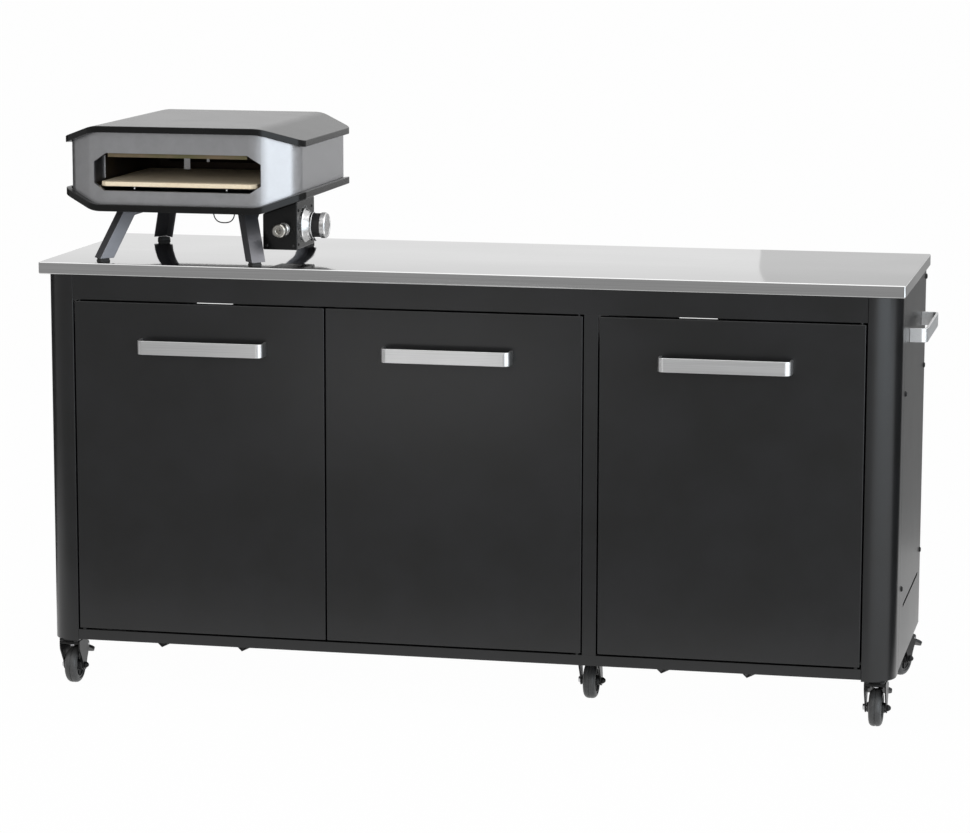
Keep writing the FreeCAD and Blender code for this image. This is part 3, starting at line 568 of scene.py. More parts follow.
def makeHandles():
    for door in doorNames:
        node = f"door_{door}_handle"
        low, high = cadBox(node)
        size = high - low
        place = Vector(((low.x + high.x) / 2, high.y, (low.z + high.z) / 2))
        bar = shifted(bentBar(size.x, size.z, size.y), Matrix.Translation(place))
        keep(f"door_{door}_bar", bar, f"door_{door}", "handle_aluminium", node)
    low, high = cadBox("side_handles")
    panelFace = cadBox("right_side_panel")[1].x
    bars = []
    for sign in (1, -1):
        place = Vector((sign * panelFace, (low.y + high.y) / 2, (low.z + high.z) / 2))
        turn = Matrix.Rotation(sign * math.pi / 2, 4, "Z")
        bar = bentBar(high.y - low.y, high.z - low.z, high.x - panelFace)
        bars.append(shifted(bar, Matrix.Translation(place) @ turn))
    keep("side_handle_bars", joined(*bars), "cabinet", "side_handle_aluminium", "side_handles",
         slotName="handle_aluminium")


for door in doorNames:
    makeDoorSkin(door)
    dress(f"door_{door}_liner", "cabinet_black", 0.0004)
    dress(f"door_{door}_fittings", "inner_steel")
makeHandles()
print("doors and handles made")


# casters: plate and race on the cabinet, fork with its axle, tyre and hub, pedal on the braked ones
casterSizes = {
    "plateTop": 107, "plate": 3, "plateHalf": (22, 26), "boltAt": (16.5, 20.5),
    "forkTop": 101, "forkLow": 93, "halfWidth": 23.5, "legSheet": 3, "trail": 20,
    "axleHeight": 40, "pinLow": 88.7, "pinRadius": 4, "raceRadius": 17, "raceBore": 3,
    "ribs": 6, "pedalPivot": (44, 83), "pedalTip": (74, 59.7),
    "turns": {"rear_right": -20, "rear_left": 20},
}
plateUnder = casterSizes["plateTop"] - casterSizes["plate"]
wheelCentre = Vector((0, casterSizes["trail"], casterSizes["axleHeight"]))
casterNames = ("front_left", "front_right", "rear_left", "rear_right", "front_middle", "rear_middle")


def casterTurn(name):
    return Matrix.Rotation(math.radians(casterSizes["turns"].get(name, 0)), 4, "Z")


# the swivel line of a caster, ahead of its wheel by the trail
def casterPlace(name):
    low, high = cadBox(f"caster_{name}_wheel")
    axle = Vector(((low.x + high.x) / 2, (low.y + high.y) / 2, 0))
    return axle - casterTurn(name) @ Vector((0, casterSizes["trail"], 0))


def casterPlateShape():
    across, deep = casterSizes["plateHalf"]
    outline = [(x, y, plateUnder) for x, y in mirrored([(across, -deep), (across, deep)])]
    return plate(outline, zAxis * casterSizes["plate"], [7] * 4)


def raceShape():
    bore, outer, low, radius = pick(casterSizes, "raceBore", "raceRadius", "pinLow", "pinRadius")
    race = turned([(plateUnder - 2.7, bore), (plateUnder - 2.7, outer - 1.5), (plateUnder - 1.6, outer),
                   (plateUnder - 0.05, outer), (plateUnder - 0.05, bore)], (0, 0, 0), zAxis, 0.3)
    pin = turned([(low, 0), (low, radius), (plateUnder - 1, radius), (plateUnder - 1, 0)], (0, 0, 0), zAxis,
                 0.2, 24)
    nut = hexHead((0, 0, casterSizes["forkLow"] - 0.3), -zAxis, 8, 4)
    return joined(race, pin, nut)


def forkShape(braked):
    half, sheet, top, low = pick(casterSizes, "halfWidth", "legSheet", "forkTop", "forkLow")
    outline = [(-16, top), (16, top), (31, 46), (31, 29), (9, 29), (9, 46), (-16, 83)]
    setbacks = [3, 6, 8, 10.9, 10.9, 8, 7]
    if braked:
        outline[2:2] = [(50, 89), (50, 77)]
        setbacks[2:2] = [5.5, 5]
    legs = [plate([(start, y, z) for y, z in outline], xAxis * sheet, setbacks, 0.7)
            for start in (-half, half - sheet)]
    dome = [(low, 0), (low, 17), (low + 1.5, 19), (low + 4, 19), (low + 4.4, 18.2), (low + 5.2, 18.2),
            (low + 5.6, 19), (top - 1.6, 18.6), (top, 16), (top, 0)]
    bridge = block((-half + 0.4, -15.5, low), (half - 0.4, 15.5, top - 0.6), 1.6, 3)
    cap = turned([(0.1, 4.2), (0.1, 7), (2.6, 7), (6.2, 4.6), (8, 2.4), (8, 0)],
                 wheelCentre + xAxis * half, xAxis, 0.8, 32)
    return joined(*legs, bridge, turned(dome, (0, 0, 0), zAxis, 0.3), cap)


def axleShape(braked):
    half = casterSizes["halfWidth"]
    washer = [(0.05, 3.9), (0.05, 8.2), (0.9, 8.2), (0.9, 3.9)]
    shapes = [turned([(-half, 0), (-half, 4), (half + 2, 4), (half + 2, 0)], wheelCentre, xAxis, 0.1, 24),
              hexHead(wheelCentre - xAxis * (half + 0.9), -xAxis, 7, 4.1),
              turned(washer, wheelCentre - xAxis * half, -xAxis, 0.15, 32, closed=True)]
    if braked:
        pivot = Vector((0, *casterSizes["pedalPivot"]))
        end = half + 0.4
        shapes.append(turned([(-end, 0), (-end, 2.5), (end, 2.5), (end, 0)], pivot, xAxis, 0.3, 24))
    return joined(*shapes)


def tyreShape():
    profile = [(-14, 30.2), (-14, 40), (-1.1, 40), (-0.7, 38.8), (0.7, 38.8), (1.1, 40), (14, 40), (14, 30.2),
               (12.5, 29.1), (-12.5, 29.1)]
    setbacks = [0.5, 9.8, 0.3, 0.3, 0.3, 0.3, 9.8, 0.5, 0.3, 0.3]
    return turned(profile, wheelCentre, xAxis, setbacks, 72, closed=True)


def hubShape():
    half = [(19.4, 4.3), (19.4, 9.6), (18.4, 11), (9, 11.4), (7.2, 13), (7.2, 22.5), (9, 24.6), (12, 25),
            (12, 28.9)]
    shapes = [turned(mirrored(half), wheelCentre, xAxis, 0.35, 60, closed=True)]
    for count in range(casterSizes["ribs"]):
        angle = count * math.tau / casterSizes["ribs"]
        turn = Matrix.Translation(wheelCentre) @ Matrix.Rotation(angle, 4, "X")
        for sign in (-1, 1):
            ends = sorted((sign * 7, sign * 10.6))
            rib = block((ends[0], -1.3, 10.9), (ends[1], 1.3, 24.8), 0.4)
            shapes.append(shifted(rib, turn))
    return joined(*shapes)


# built along its own arm: X across, Y from pivot to tip, Z away from the wheel
def pedalShape():
    pivot, tip = (Vector((0, *casterSizes[point])) for point in ("pedalPivot", "pedalTip"))
    reach = (tip - pivot).length
    barrel = turned([(-16, 2.6), (-16, 5.5), (16, 5.5), (16, 2.6)], (0, 0, 0), xAxis, 0.4, 32, closed=True)
    arm = block((-15.6, 1, -1.5), (15.6, reach - 4, 1.5), 0.7)
    shoe = block((-11, 4, -7), (11, 19, -1), 1)
    fan = [(14, 12), (28.8, 25), (28.8, 33), (24, reach)]
    outline = [(x, y, -1.4) for x, y in mirrored(fan)]
    tread = plate(outline, zAxis * 7, [3, 7, 3.5, 4.5, 4.5, 3.5, 7, 3], 2.4)
    ridges = [block((-15, at, 5.2), (15, at + 1.4, 6), 0.3) for at in (23, 27, 31)]
    along = (tip - pivot).normalized()
    armTurn = Matrix((xAxis, along, xAxis.cross(along))).transposed().to_4x4()
    return shifted(joined(barrel, arm, shoe, tread, *ridges), Matrix.Translation(pivot) @ armTurn)


def makeCasters():
    plates, races = [], []
    for name in casterNames:
        stand = Matrix.Translation(casterPlace(name))
        place = stand @ casterTurn(name)
        caster = f"caster_{name}"
        braked = f"{caster}_pedal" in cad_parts
        plates.append(shifted(casterPlateShape(), stand))
        races.append(shifted(raceShape(), stand))
        for part, shape, own, finish, slotName, node in (
                ("yoke", forkShape(braked), "swivel", "caster_black", "caster_black", "fork"),
                ("axle", axleShape(braked), "swivel", "caster_zinc", "caster_black", "fork"),
                ("tyre", tyreShape(), "roller", "tyre_rubber", "caster_rubber", "wheel"),
                ("hub", hubShape(), "roller", "hub_plastic", "caster_rubber", "wheel")):
            keep(f"{caster}_{part}", shifted(shape, place), f"{caster}_{own}", finish, f"{caster}_{node}",
                 slotName=slotName)
        if braked:
            keep(f"{caster}_brake_pad", shifted(pedalShape(), place), f"{caster}_brake", "pedal_plastic",
                 f"{caster}_pedal")
    keep("caster_top_plates", joined(*plates), "cabinet", "caster_black", "caster_plates")
    keep("caster_races", joined(*races), "cabinet", "caster_zinc", "caster_plates", slotName="caster_black")


makeCasters()
print("casters made:", len(casterNames))


# screws of the side panels and the caster plates
boltSizes = {"head": 6, "height": 3.5, "radius": 3, "plateHead": 5, "plateHeight": 2.5,
             "sides": ((-147.75, 283), (-147.75, 704), (285.25, 283), (285.25, 704), (298.25, 902))}


def makeBolts():
    face = cadBox("right_side_panel")[1].x
    head, height, radius = pick(boltSizes, "head", "height", "radius")
    shapes = []
    profile = [(-9, 0), (-9, radius), (0.05, radius), (0.05, head), (height * 0.55, head),
               (height, head * 0.7), (height, head * 0.42), (height * 0.45, head * 0.36), (height * 0.45, 0)]
    for sign in (-1, 1):
        for y, z in boltSizes["sides"]:
            shapes.append(turned(profile, (sign * face, y, z), xAxis * sign, 0.2, 28))
    across, deep = casterSizes["boltAt"]
    for name in casterNames:
        for x, y in ((-1, -1), (-1, 1), (1, -1), (1, 1)):
            place = casterPlace(name) + Vector((x * across, y * deep, plateUnder - 0.05))
            shapes.append(hexHead(place, -zAxis, boltSizes["plateHead"], boltSizes["plateHeight"] - 0.1))
    keep("panel_and_plate_screws", joined(*shapes), "cabinet", "bolt_black", "cabinet_bolts")


makeBolts()
print("screws made")


# oven body: an eight-sided shell between a lid and a tray, both folded at the two sides
ovenSizes = {
    "half": (272, 263.5), "corner": (84, 63), "sheet": 1.5, "gap": 0.2, "shellInset": 11,
    "shellBend": 24, "shellBlank": (1040, 220), "frontZone": -200, "lidTop": 1247,
    "lidRim": 14, "lidDrop": 29, "trayLow": 1062, "trayRim": 15, "trayRise": 30,
    "rimTurnIn": 9, "rimRound": 4, "planRound": 18, "bendZone": 16, "bendSteps": 6,
}
mouthSizes = {"half": 188, "low": 1106, "high": 1188, "highCut": (29, 19), "lowCut": (24, 16), "lip": 12}
ovenLow, ovenHigh = cadBox("oven_lid")
ovenMiddle = Matrix.Translation(Vector(((ovenLow.x + ovenHigh.x) / 2, (ovenLow.y + ovenHigh.y) / 2, 0)))
bendAt = ovenSizes["half"][0] - ovenSizes["corner"][0]


# oven pieces are modelled about the oven's own middle
def keepOven(name, bm, finish, *nodes, body="oven", slotName=None):
    keep(name, shifted(bm, ovenMiddle), body, finish, *nodes, slotName=slotName)


def eightSides(inset, level):
    across, deep = (half - inset for half in ovenSizes["half"])
    cornerX, cornerY = ovenSizes["corner"]
    lost = inset * (cornerX + cornerY - math.hypot(cornerX, cornerY))
    flatX = across - cornerX + lost / cornerY
    flatY = deep - cornerY + lost / cornerX
    right = [(flatX, -deep), (across, -flatY), (across, flatY), (flatX, deep)]
    return [(x, y, level) for x, y in mirrored(right)]


# lid or tray: bent down or up outside the two bend lines, its rim folded over and turned in
def foldedCap(level, change, rim):
    bm = outlined(eightSides(0, level), [ovenSizes["planRound"]] * 8, 8)
    zone, steps = pick(ovenSizes, "bendZone", "bendSteps")
    for side in (-1, 1):
        for step in range(steps + 1):
            line = side * (bendAt + zone * (2 * step / steps - 1))
            bmesh.ops.bisect_plane(bm, geom=everything(bm), plane_co=(line, 0, level), plane_no=xAxis)
    for vert in bm.verts:
        past = abs(vert.co.x) - bendAt
        share = past if past > zone else max(0, past + zone) ** 2 / (4 * zone)
        vert.co.z += change * share / ovenSizes["corner"][0]
    pulled(bm, openEdges(bm), zAxis * rim)
    made = bmesh.ops.extrude_edge_only(bm, edges=openEdges(bm))
    turnIn = [1 - ovenSizes["rimTurnIn"] / half for half in ovenSizes["half"]] + [1]
    bmesh.ops.scale(bm, vec=turnIn, verts=newVerts(made))
    outward(bm)
    bevelled(bm, folds(bm), ovenSizes["rimRound"], 4)
    return thicken(bm, ovenSizes["sheet"])


def cutAway(bm, geom, point, normal, clear=True):
    bmesh.ops.bisect_plane(bm, geom=geom, plane_co=point, plane_no=normal, clear_outer=clear)


def frontGeom(bm):
    faces = [face for face in bm.faces if face.calc_center_median().y < ovenSizes["frontZone"]]
    edges = dict.fromkeys(edge for face in faces for edge in face.edges)
    verts = dict.fromkeys(vert for face in faces for vert in face.verts)
    return [*verts, *edges, *faces]


def ovenShell():
    blankLow, blankHeight = ovenSizes["shellBlank"]
    bm = outlined(eightSides(ovenSizes["shellInset"], blankLow), [ovenSizes["shellBend"]] * 8, 8)
    bmesh.ops.delete(bm, geom=bm.faces[:], context="FACES_ONLY")
    pulled(bm, bm.edges[:], zAxis * blankHeight)
    sheet, gap = pick(ovenSizes, "sheet", "gap")
    top = ovenSizes["lidTop"] - sheet - gap
    low = ovenSizes["trayLow"] + sheet + gap
    corner = ovenSizes["corner"][0]
    cutAway(bm, everything(bm), (0, 0, top), zAxis)
    cutAway(bm, everything(bm), (0, 0, low), -zAxis)
    for side in (-1, 1):
        cutAway(bm, everything(bm), (side * bendAt, 0, top), (side * ovenSizes["lidDrop"], 0, corner))
        cutAway(bm, everything(bm), (side * bendAt, 0, low), (side * ovenSizes["trayRise"], 0, -corner))
    # the mouth's outline, as the planes that bound it
    half, mouthLow, mouthHigh = pick(mouthSizes, "half", "low", "high")
    planes = [((0, 0, mouthLow), -zAxis), ((0, 0, mouthHigh), zAxis)]
    for side in (-1, 1):
        planes.append(((side * half, 0, 0), xAxis * side))
        for level, (across, up), way in ((mouthHigh, mouthSizes["highCut"], 1),
                                         (mouthLow, mouthSizes["lowCut"], -1)):
            planes.append(((side * (half - across), 0, level), (side * up, 0, way * across)))
    for point, normal in planes:
        cutAway(bm, frontGeom(bm), point, normal, False)
    inside = [face for face in frontGeom(bm) if isinstance(face, bmesh.types.BMFace)
              and all((face.calc_center_median() - Vector(point)).dot(Vector(normal)) < 0
                      for point, normal in planes)]
    bmesh.ops.delete(bm, geom=inside, context="FACES")
    rim = [edge for edge in openEdges(bm)
           if all(mouthLow - 0.1 < vert.co.z < mouthHigh + 0.1 and vert.co.y < ovenSizes["frontZone"]
                  for vert in edge.verts)]
    pulled(bm, rim, yAxis * mouthSizes["lip"])
    return thicken(outward(bm), sheet)


# baking stone on its ledges
stoneSizes = {"half": 176, "front": -244, "depth": 350, "low": 1115.3, "thickness": 10, "corner": 12}


def bakingStone():
    half, front, corner = pick(stoneSizes, "half", "front", "corner")
    right = [(half - corner, front), (half, front + corner), (half, front + stoneSizes["depth"])]
    outline = [(x, y, stoneSizes["low"]) for x, y in mirrored(right)]
    return plate(outline, zAxis * stoneSizes["thickness"], [3] * 6, 1.6)


keepOven("oven_lid_sheet", foldedCap(ovenSizes["lidTop"], -ovenSizes["lidDrop"], -ovenSizes["lidRim"]),
         "oven_black", "oven_lid")
keepOven("oven_tray_sheet", foldedCap(ovenSizes["trayLow"], ovenSizes["trayRise"], ovenSizes["trayRim"]),
         "oven_black", "oven_tray")
keepOven("oven_shell_sheet", ovenShell(), "oven_silver", "oven_shell")
keepOven("stone_slab", bakingStone(), "baking_stone", "oven_stone", body="baking_stone")
# inside the mouth: a steel tunnel round it, an apron at its top, a hanging tab, and clips under the stone
tunnelSizes = {
    "front": -244, "back": -182, "side": 187.2, "low": 1123, "high": 1183, "sheet": 1,
    "edge": {"width": 3, "rise": 4, "drop": 6},
    "apron": {"front": -244, "half": 157, "low": 1179, "high": 1203},
    "tab": {"x": -7, "y": -150, "half": 7, "low": 1147},
    "hook": {"x": 41, "y": -150, "half": 3, "low": 1164},
    "clips": {"places": (-98, 110), "half": 1.6, "behind": 2, "low": 1110, "high": 1113.5},
}


def crossPlate(x, y, sizes, top, edge):
    half = sizes["half"]
    return block((x - half, y, sizes["low"]), (x + half, y + tunnelSizes["sheet"], top), edge)


def mouthShapes():
    front, back, side, sheet, low, high = pick(tunnelSizes, "front", "back", "side", "sheet", "low", "high")
    edge, apron, clip = pick(tunnelSizes, "edge", "apron", "clips")
    plates, edges = [], []
    for sign in (-1, 1):
        near, far = sorted((sign * side, sign * (side - sheet)))
        plates.append(block((near, front, low), (far, back, high), 0.2))
        near, far = sorted((sign * (side - sheet), sign * (side - sheet - edge["width"])))
        edges.append(block((near, back - sheet, low + edge["rise"]), (far, back, high - edge["drop"]), 0.3))
    edges += [crossPlate(x, stoneSizes["front"] + clip["behind"], clip, clip["high"], 0.2)
              for x in clip["places"]]
    hangers = [crossPlate(hanger["x"], hanger["y"], hanger, apron["high"], 0.3)
               for hanger in pick(tunnelSizes, "tab", "hook")]
    return (("tunnel", joined(*plates), "tunnel_steel"), ("edges", joined(*edges), "edge_steel"),
            ("hangers", joined(*hangers), "inner_steel"),
            ("apron", crossPlate(0, apron["front"], apron, apron["high"], 0.2), "apron_steel"))


for name, shape, finish in mouthShapes():
    keepOven(f"oven_mouth_{name}", shape, finish, slotName="liner_steel")
dress("oven_liner", "liner_steel")
dress("oven_burner", "liner_steel")
dress("oven_legs", "leg_grey", 0.0008)
print("oven body made")


# feet: rubber pads under the legs, turned as the legs are
footSizes = {"size": 25, "across": 171.5, "front": -263, "rear": 215, "fold": 50, "level": 950,
             "inset": 1.25, "steps": ((0.02, 4.6, 0), (3.4, 8, 1))}


def makeFeet():
    fold = math.radians(footSizes["fold"])
    size, inset = pick(footSizes, "size", "inset")
    pads = []
    for sx in (-1, 1):
        for y in (footSizes["front"], footSizes["rear"]):
            inward = -math.copysign(math.sin(fold), y)
            left, right = Vector((-math.cos(fold), inward, 0)), Vector((math.cos(fold), inward, 0))
            for low, high, narrow in footSizes["steps"]:
                start, end = inset + narrow, inset + size - narrow
                ridge = Vector((sx * footSizes["across"], y, footSizes["level"] + low))
                outline = [ridge + left * a + right * b
                           for a, b in ((start, start), (end, start), (end, end), (start, end))]
                pads.append(plate(outline, zAxis * (high - low), [2] * 4, 1))
    keepOven("oven_foot_pads", joined(*pads), "foot_rubber", "oven_feet")


makeFeet()


# control box under the tray, with its screws and a ring of plain marks round the knob
boxSizes = {
    "left": 173, "right": 250, "front": -183, "back": -38, "low": 979, "edge": 2.5,
    "blankRise": 60, "shoulder": 24, "screw": 3,
    "sideScrews": ((-60, 1064), (-168, 1064), (-60, 990), (-168, 990)),
    "frontScrews": ((182, 988), (241, 988)), "knob": (-118, 1028), "marks": 15, "markRing": 41.5,
    "markSweep": 280,
}


def controlBox():
    top = ovenSizes["trayLow"] - ovenSizes["gap"]
    left, right, front, back = pick(boxSizes, "left", "right", "front", "back")
    bm = block((left, front, boxSizes["low"]), (right, back, top + boxSizes["blankRise"]), 0)
    for point, normal in (((bendAt, 0, top), (-ovenSizes["trayRise"], 0, ovenSizes["corner"][0])),
                          ((0, 0, top + boxSizes["shoulder"]), zAxis)):
        cutAway(bm, everything(bm), point, normal)
        bmesh.ops.holes_fill(bm, edges=openEdges(bm))
    return soften(bm, boxSizes["edge"], 3)


def smallScrew(centre, axis):
    radius = boxSizes["screw"]
    profile = [(0.02, radius), (1, radius), (1.7, radius * 0.55), (1.7, radius * 0.3), (0.9, radius * 0.25),
               (0.9, 0)]
    return turned(profile, centre, axis, 0.1, 20)


def makeControlBox():
    right, front = pick(boxSizes, "right", "front")
    keepOven("oven_control_casing", controlBox(), "oven_black", "oven_control_box")
    screws = [smallScrew((right, y, z), xAxis) for y, z in boxSizes["sideScrews"]]
    screws += [smallScrew((x, front, z), -yAxis) for x, z in boxSizes["frontScrews"]]
    keepOven("oven_box_screws", joined(*screws), "bolt_black")
    knobY, knobZ = boxSizes["knob"]
    count, ring, sweep = pick(boxSizes, "marks", "markRing", "markSweep")
    marks = []
    for mark in range(count):
        angle = math.radians(90 - sweep / 2 + mark * sweep / (count - 1))
        place = Vector((right, knobY + ring * math.cos(angle), knobZ + ring * math.sin(angle)))
        marks.append(turned([(0, 1.15), (0.25, 1), (0.25, 0)], place, xAxis, 0, 12))
    keepOven("oven_knob_marks", joined(*marks), "mark_white", slotName="oven_black")


makeControlBox()


# gas inlet: flange, neck and a knurled union nut, with the valve block behind
inletSizes = {"x": 221, "z": 1025, "flange": (14, 5), "neck": (9, 22), "collar": (14.5, 20),
              "thread": 5.8, "depth": 14, "ribs": 40, "valve": ((198, -141, 1010), (235, -45, 1046))}
knurlLimits = {"tilt": 0.1, "area": 8}


# every side face beyond the least radius is drawn in, pushed in or pulled out
def knurled(bm, axis, centre, least, depth, thickness):
    def outside(face):
        reach = face.calc_center_median() - centre
        return face.normal.dot(reach) > 0 and reach.cross(axis).length > least
    sides = [face for face in bm.faces
             if abs(face.normal.dot(axis)) < knurlLimits["tilt"] and face.calc_area() > knurlLimits["area"]]
    outer = [face for face in sides if outside(face)]
    bmesh.ops.inset_individual(bm, faces=outer, thickness=thickness, depth=depth)


def makeInlet():
    start = Vector((inletSizes["x"], boxSizes["front"], inletSizes["z"]))
    way = -yAxis
    flangeEnd = inletSizes["flange"][1]
    neckEnd = flangeEnd + inletSizes["neck"][1]
    end = neckEnd + inletSizes["collar"][1]
    flangeRadius, neckRadius, collarRadius = (inletSizes[part][0] for part in ("flange", "neck", "collar"))
    profile = [(0.05, 0), (0.05, flangeRadius), (flangeEnd, flangeRadius), (flangeEnd, neckRadius + 2),
               (flangeEnd + 2, neckRadius), (neckEnd + 2, neckRadius), (neckEnd + 2, 0)]
    fitting = joined(turned(profile, start, way, 0.6), block(*inletSizes["valve"], 2))
    thread, depth = pick(inletSizes, "thread", "depth")
    profile = [(neckEnd, neckRadius - 1), (neckEnd, collarRadius - 2), (neckEnd + 2.4, collarRadius),
               (end - 2.4, collarRadius), (end, collarRadius - 2), (end, thread + 1.2),
               (end - 1.2, thread), (end - depth, thread), (end - depth, 2)]
    collar = turned(profile, start, way, 0, inletSizes["ribs"], closed=True)
    knurled(collar, way, start, collarRadius - 0.5, 0.45, 0.5)
    keepOven("oven_inlet_fitting", fitting, "gas_chrome", "oven_gas_inlet")
    keepOven("oven_inlet_collar", collar, "gas_collar", "oven_gas_inlet", slotName="gas_chrome")


makeInlet()


# knob: stepped bezel on the box, fluted grip and a turned cap
knobSizes = {
    "start": 250, "bezel": 38, "cup": 29, "cupEnd": 271, "grip": 26.5, "gripStart": 264,
    "gripEnd": 288, "cap": 28, "end": 301, "flutes": 60, "bore": 27.1, "stem": 4.2,
    "stemHole": 5.5,
}


def makeKnob():
    centre = Vector((0, *boxSizes["knob"]))
    start, cupEnd, gripStart, gripEnd = pick(knobSizes, "start", "cupEnd", "gripStart", "gripEnd")
    cup, ring, bore, hole = pick(knobSizes, "cup", "bezel", "bore", "stemHole")
    profile = [(start + 0.05, hole), (start + 0.05, ring), (start + 2.6, ring), (start + 4.6, ring - 2),
               (start + 12, cup + 1.5), (cupEnd - 6, cup), (cupEnd - 5.2, cup - 0.6), (cupEnd - 4.4, cup),
               (cupEnd - 0.8, cup), (cupEnd, cup - 0.8), (cupEnd, bore), (start + 6, bore), (start + 6, hole)]
    bezel = turned(profile, centre, xAxis, 0.25, 72, closed=True)
    keepOven("oven_knob_bezel", bezel, "knob_chrome", "oven_bezel")
    grip, stem = pick(knobSizes, "grip", "stem")
    profile = [(gripStart, stem), (gripStart, grip - 0.8), (gripStart + 0.8, grip - 0.3),
               (gripEnd - 0.1, grip - 0.3), (gripEnd - 0.1, stem)]
    handle = turned(profile, centre, xAxis, 0, knobSizes["flutes"], closed=True)
    knurled(handle, xAxis, centre, grip - 1, -0.6, 0.4)
    keepOven("oven_knob_grip", handle, "knob_grip", "oven_knob", body="knob", slotName="knob_chrome")
    cap, end = pick(knobSizes, "cap", "end")
    profile = [(gripEnd, 0), (gripEnd, cap - 0.8), (gripEnd + 0.8, cap), (end - 2.4, cap), (end, cap - 2.4),
               (end, cap - 5), (end - 0.9, cap - 6), (end - 0.9, 0)]
    dial = turned(profile, centre, xAxis, 0.3, 72)
    pointer = block(centre + Vector((end - 1.2, -1.1, 7)), centre + Vector((end - 0.2, 1.1, 21)), 0.3)
    keepOven("oven_knob_cap", joined(dial, pointer), "knob_chrome", "oven_knob", body="knob")


makeKnob()
dress("oven_valve_stem", "stem_brass")
print("controls made")


# igniter lead: a short loop that hangs below the tray, out of it and back into it
leadSizes = {"x": 85, "y": -180, "loop": 24, "diameter": 2.6, "length": 0.0754}


def makeLead():
    loop, y = pick(leadSizes, "loop", "y")
    top = ovenSizes["trayLow"] - leadSizes["diameter"] / 2
    offsets = [(-1, 0), (-1, -0.5), (-0.62, -1), (0, -1.1), (0.62, -1), (1, -0.5), (1, 0)]
    points = [ovenMiddle @ Vector((leadSizes["x"] + across * loop, y, top + down * loop)) / perMetre
              for across, down in offsets]
    curve = bpy.data.curves.new("igniter_loop", "CURVE")
    adjust(curve, dimensions="3D", bevel_depth=leadSizes["diameter"] / 2 / perMetre, bevel_resolution=4,
           resolution_u=8, use_fill_caps=True)
    spline = curve.splines.new("NURBS")
    spline.points.add(len(points) - 1)
    for spot, point in zip(spline.points, points):
        spot.co = (*point, 1)
    adjust(spline, order_u=3, use_endpoint_u=True)
    curve.materials.append(finishes["lead_black"])
    piece = added("igniter_loop", curve)
    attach(piece, "oven")
    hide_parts("oven_igniter_lead")


makeLead()
print("lead hung")


# floor and light: white to the camera and to reflections, with the object's shadow kept
lightSizes = {
    "floor": 160, "whiteShare": 0.985, "floorColour": 0.80, "fill": 0.40, "aim": (0, 0, 0.6),
    "side": {"place": (4.24, -2.65, 1.55), "size": (6.3, 3.25), "power": 118,
             "colour": (0.80, 0.91, 1), "mirrored": True},
    "top": {"place": (-0.4, -0.9, 4.6), "size": (4.5, 3.2), "power": 45,
            "colour": (1, 1, 1), "mirrored": True},
    "front": {"place": (-1.3, -5.2, 2.1), "size": (3, 2), "power": 95,
              "colour": (1, 0.99, 0.97), "mirrored": False},
}
# cards that only reflections see, each a level and its corners: light ones for the middle door and the legs
cardSizes = {
    "front_near": (0.36, [(-14, -1, 0.01), (1, -1, 0.01), (1.05, -1.9, 0.316), (-14, -1.9, 0.316)]),
    "front_low": (0.42, [(-14, -1.9, 0.316), (1.05, -1.9, 0.316), (1.1, -2.5, 0.52), (-14, -2.5, 0.52)]),
    "front_high": (0.36, [(-14, -2.5, 0.52), (1.1, -2.5, 0.52), (1.8, -8, 4), (-14, -8, 4)]),
    "door_light": (1.7, [(-0.85, -2, 0.15), (-0.1, -2, 0.15), (-0.1, -2, 0.6), (-0.85, -2, 0.6)]),
    "leg_light": (3.2, [(3, -0.6, 2.4), (3, 0.8, 2.4), (2.6, 0.8, 3.8), (2.6, -0.6, 3.8)]),
    "leg_card": (0.42, [(2.6, 0.4, 0.7), (2.8, -1, 0.7), (2.8, -1, 1.7), (2.6, 0.4, 1.7)]),
    "right_card": (0.02, [(1.2, -0.22, 0.01), (5, 0.45, 0.9), (2.6, 6.5, 0.9)]),
    "near_card": (0.62, [(1, 0.2, 0.02), (1.6, 0.2, 0.02), (1.8, 1.6, 0.02), (1.05, 1.6, 0.02)]),
    "far_card": (0.36, [(1.05, 1.6, 0.02), (6, 1.6, 0.02), (9, 14, 0.02), (0.4, 14, 0.02)]),
    "rear_card": (0.75, [(0.2, 3, 0.96), (1.6, 3, 0.96), (1.6, 3, 3), (0.2, 3, 3)]),
    "left_card": (0.05, [(-1.03, 0.35, 0.01), (-5, 0.8, 0.01), (-5, 0.8, 0.94), (-1.03, 0.35, 0.94)]),
    "left_front": (0.42, [(-3, -1.75, 0.01), (-3, 0.1, 0.01), (-6.5, 0.1, 3), (-6.5, -1.75, 3)]),
    "left_wall": (0.03, [(-3, 0.1, 0.01), (-3, 3.5, 0.01), (-4, 3.5, 4), (-4, 0.1, 4)]),
}


def whiteRays(tree):
    path = tree.nodes.new("ShaderNodeLightPath")
    camera, glossy, through = (Wire(tree, path.outputs[ray]) for ray in
                               ("Is Camera Ray", "Is Glossy Ray", "Is Transmission Ray"))
    return camera.math("MINIMUM", camera + glossy + through, 1)


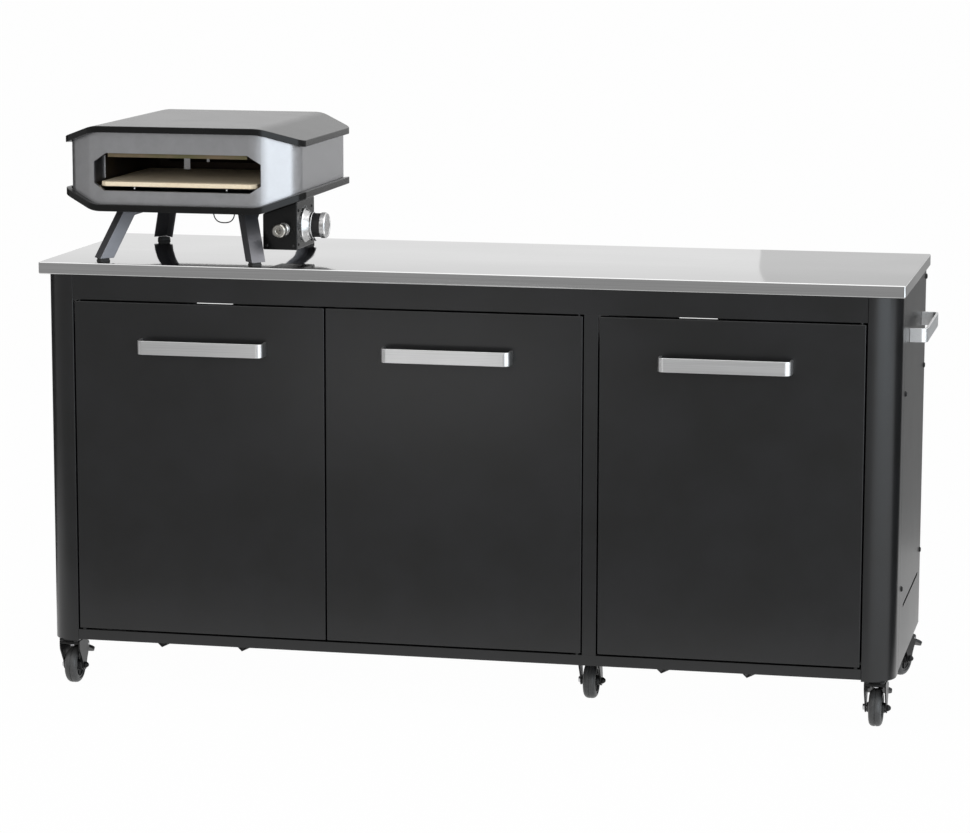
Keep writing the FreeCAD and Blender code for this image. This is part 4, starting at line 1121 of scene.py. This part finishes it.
# floor and cards: one shader straight to the output
def stageLook(piece):
    material, tree = newMaterial(piece.name)
    tree.nodes.remove(tree.nodes["Principled BSDF"])
    piece.data.materials.append(material)
    return tree, tree.nodes["Material Output"].inputs["Surface"]


def flatCard(name, corners):
    card = added(name, meshOf(name, outlined(corners, [], 0)))
    return card


def makeFloor():
    half = lightSizes["floor"] / 2
    floor = flatCard("floor", [(-half, -half, 0), (half, -half, 0), (half, half, 0), (-half, half, 0)])
    tree, surface = stageLook(floor)
    white = whiteRays(tree)
    plain = white.node("ShaderNodeBsdfDiffuse", {}, {"Color": grey(lightSizes["floorColour"])})
    bright = white.node("ShaderNodeEmission", {}, {"Color": grey(1), "Strength": 1})
    mixed = white.node("ShaderNodeMixShader", {}, {0: white * lightSizes["whiteShare"], 1: plain, 2: bright})
    tree.links.new(mixed.socket, surface)


def makeWorld():
    world = bpy.data.worlds.new("studio")
    scene.world = world
    world.use_nodes = True
    tree = world.node_tree
    white = whiteRays(tree)
    strength = lightSizes["fill"] + (1 - lightSizes["fill"]) * white
    tree.links.new(strength.socket, tree.nodes["Background"].inputs["Strength"])
    tree.nodes["Background"].inputs["Color"].default_value = grey(1)


def makeLamp(name):
    sizes = lightSizes[name]
    lamp = bpy.data.lights.new(f"{name}_softbox", "AREA")
    lamp.shape = "RECTANGLE"
    lamp.size, lamp.size_y = sizes["size"]
    lamp.energy = sizes["power"]
    lamp.color = sizes["colour"]
    holder = added(f"{name}_softbox", lamp)
    holder.location = sizes["place"]
    holder.visible_glossy = sizes["mirrored"]
    aim = Vector(lightSizes["aim"]) - Vector(sizes["place"])
    holder.rotation_euler = aim.to_track_quat("-Z", "Y").to_euler()


def makeCard(name, level, corners):
    card = flatCard(name, corners)
    tree, surface = stageLook(card)
    glow = tree.nodes.new("ShaderNodeEmission")
    glow.inputs["Color"].default_value = grey(level)
    tree.links.new(glow.outputs[0], surface)
    adjust(card, visible_camera=False, visible_diffuse=False, visible_transmission=False,
           visible_shadow=False)


makeFloor()
makeWorld()
for name in ("side", "top", "front"):
    makeLamp(name)
for name, (level, corners) in cardSizes.items():
    makeCard(name, level, corners)
print("studio lit")
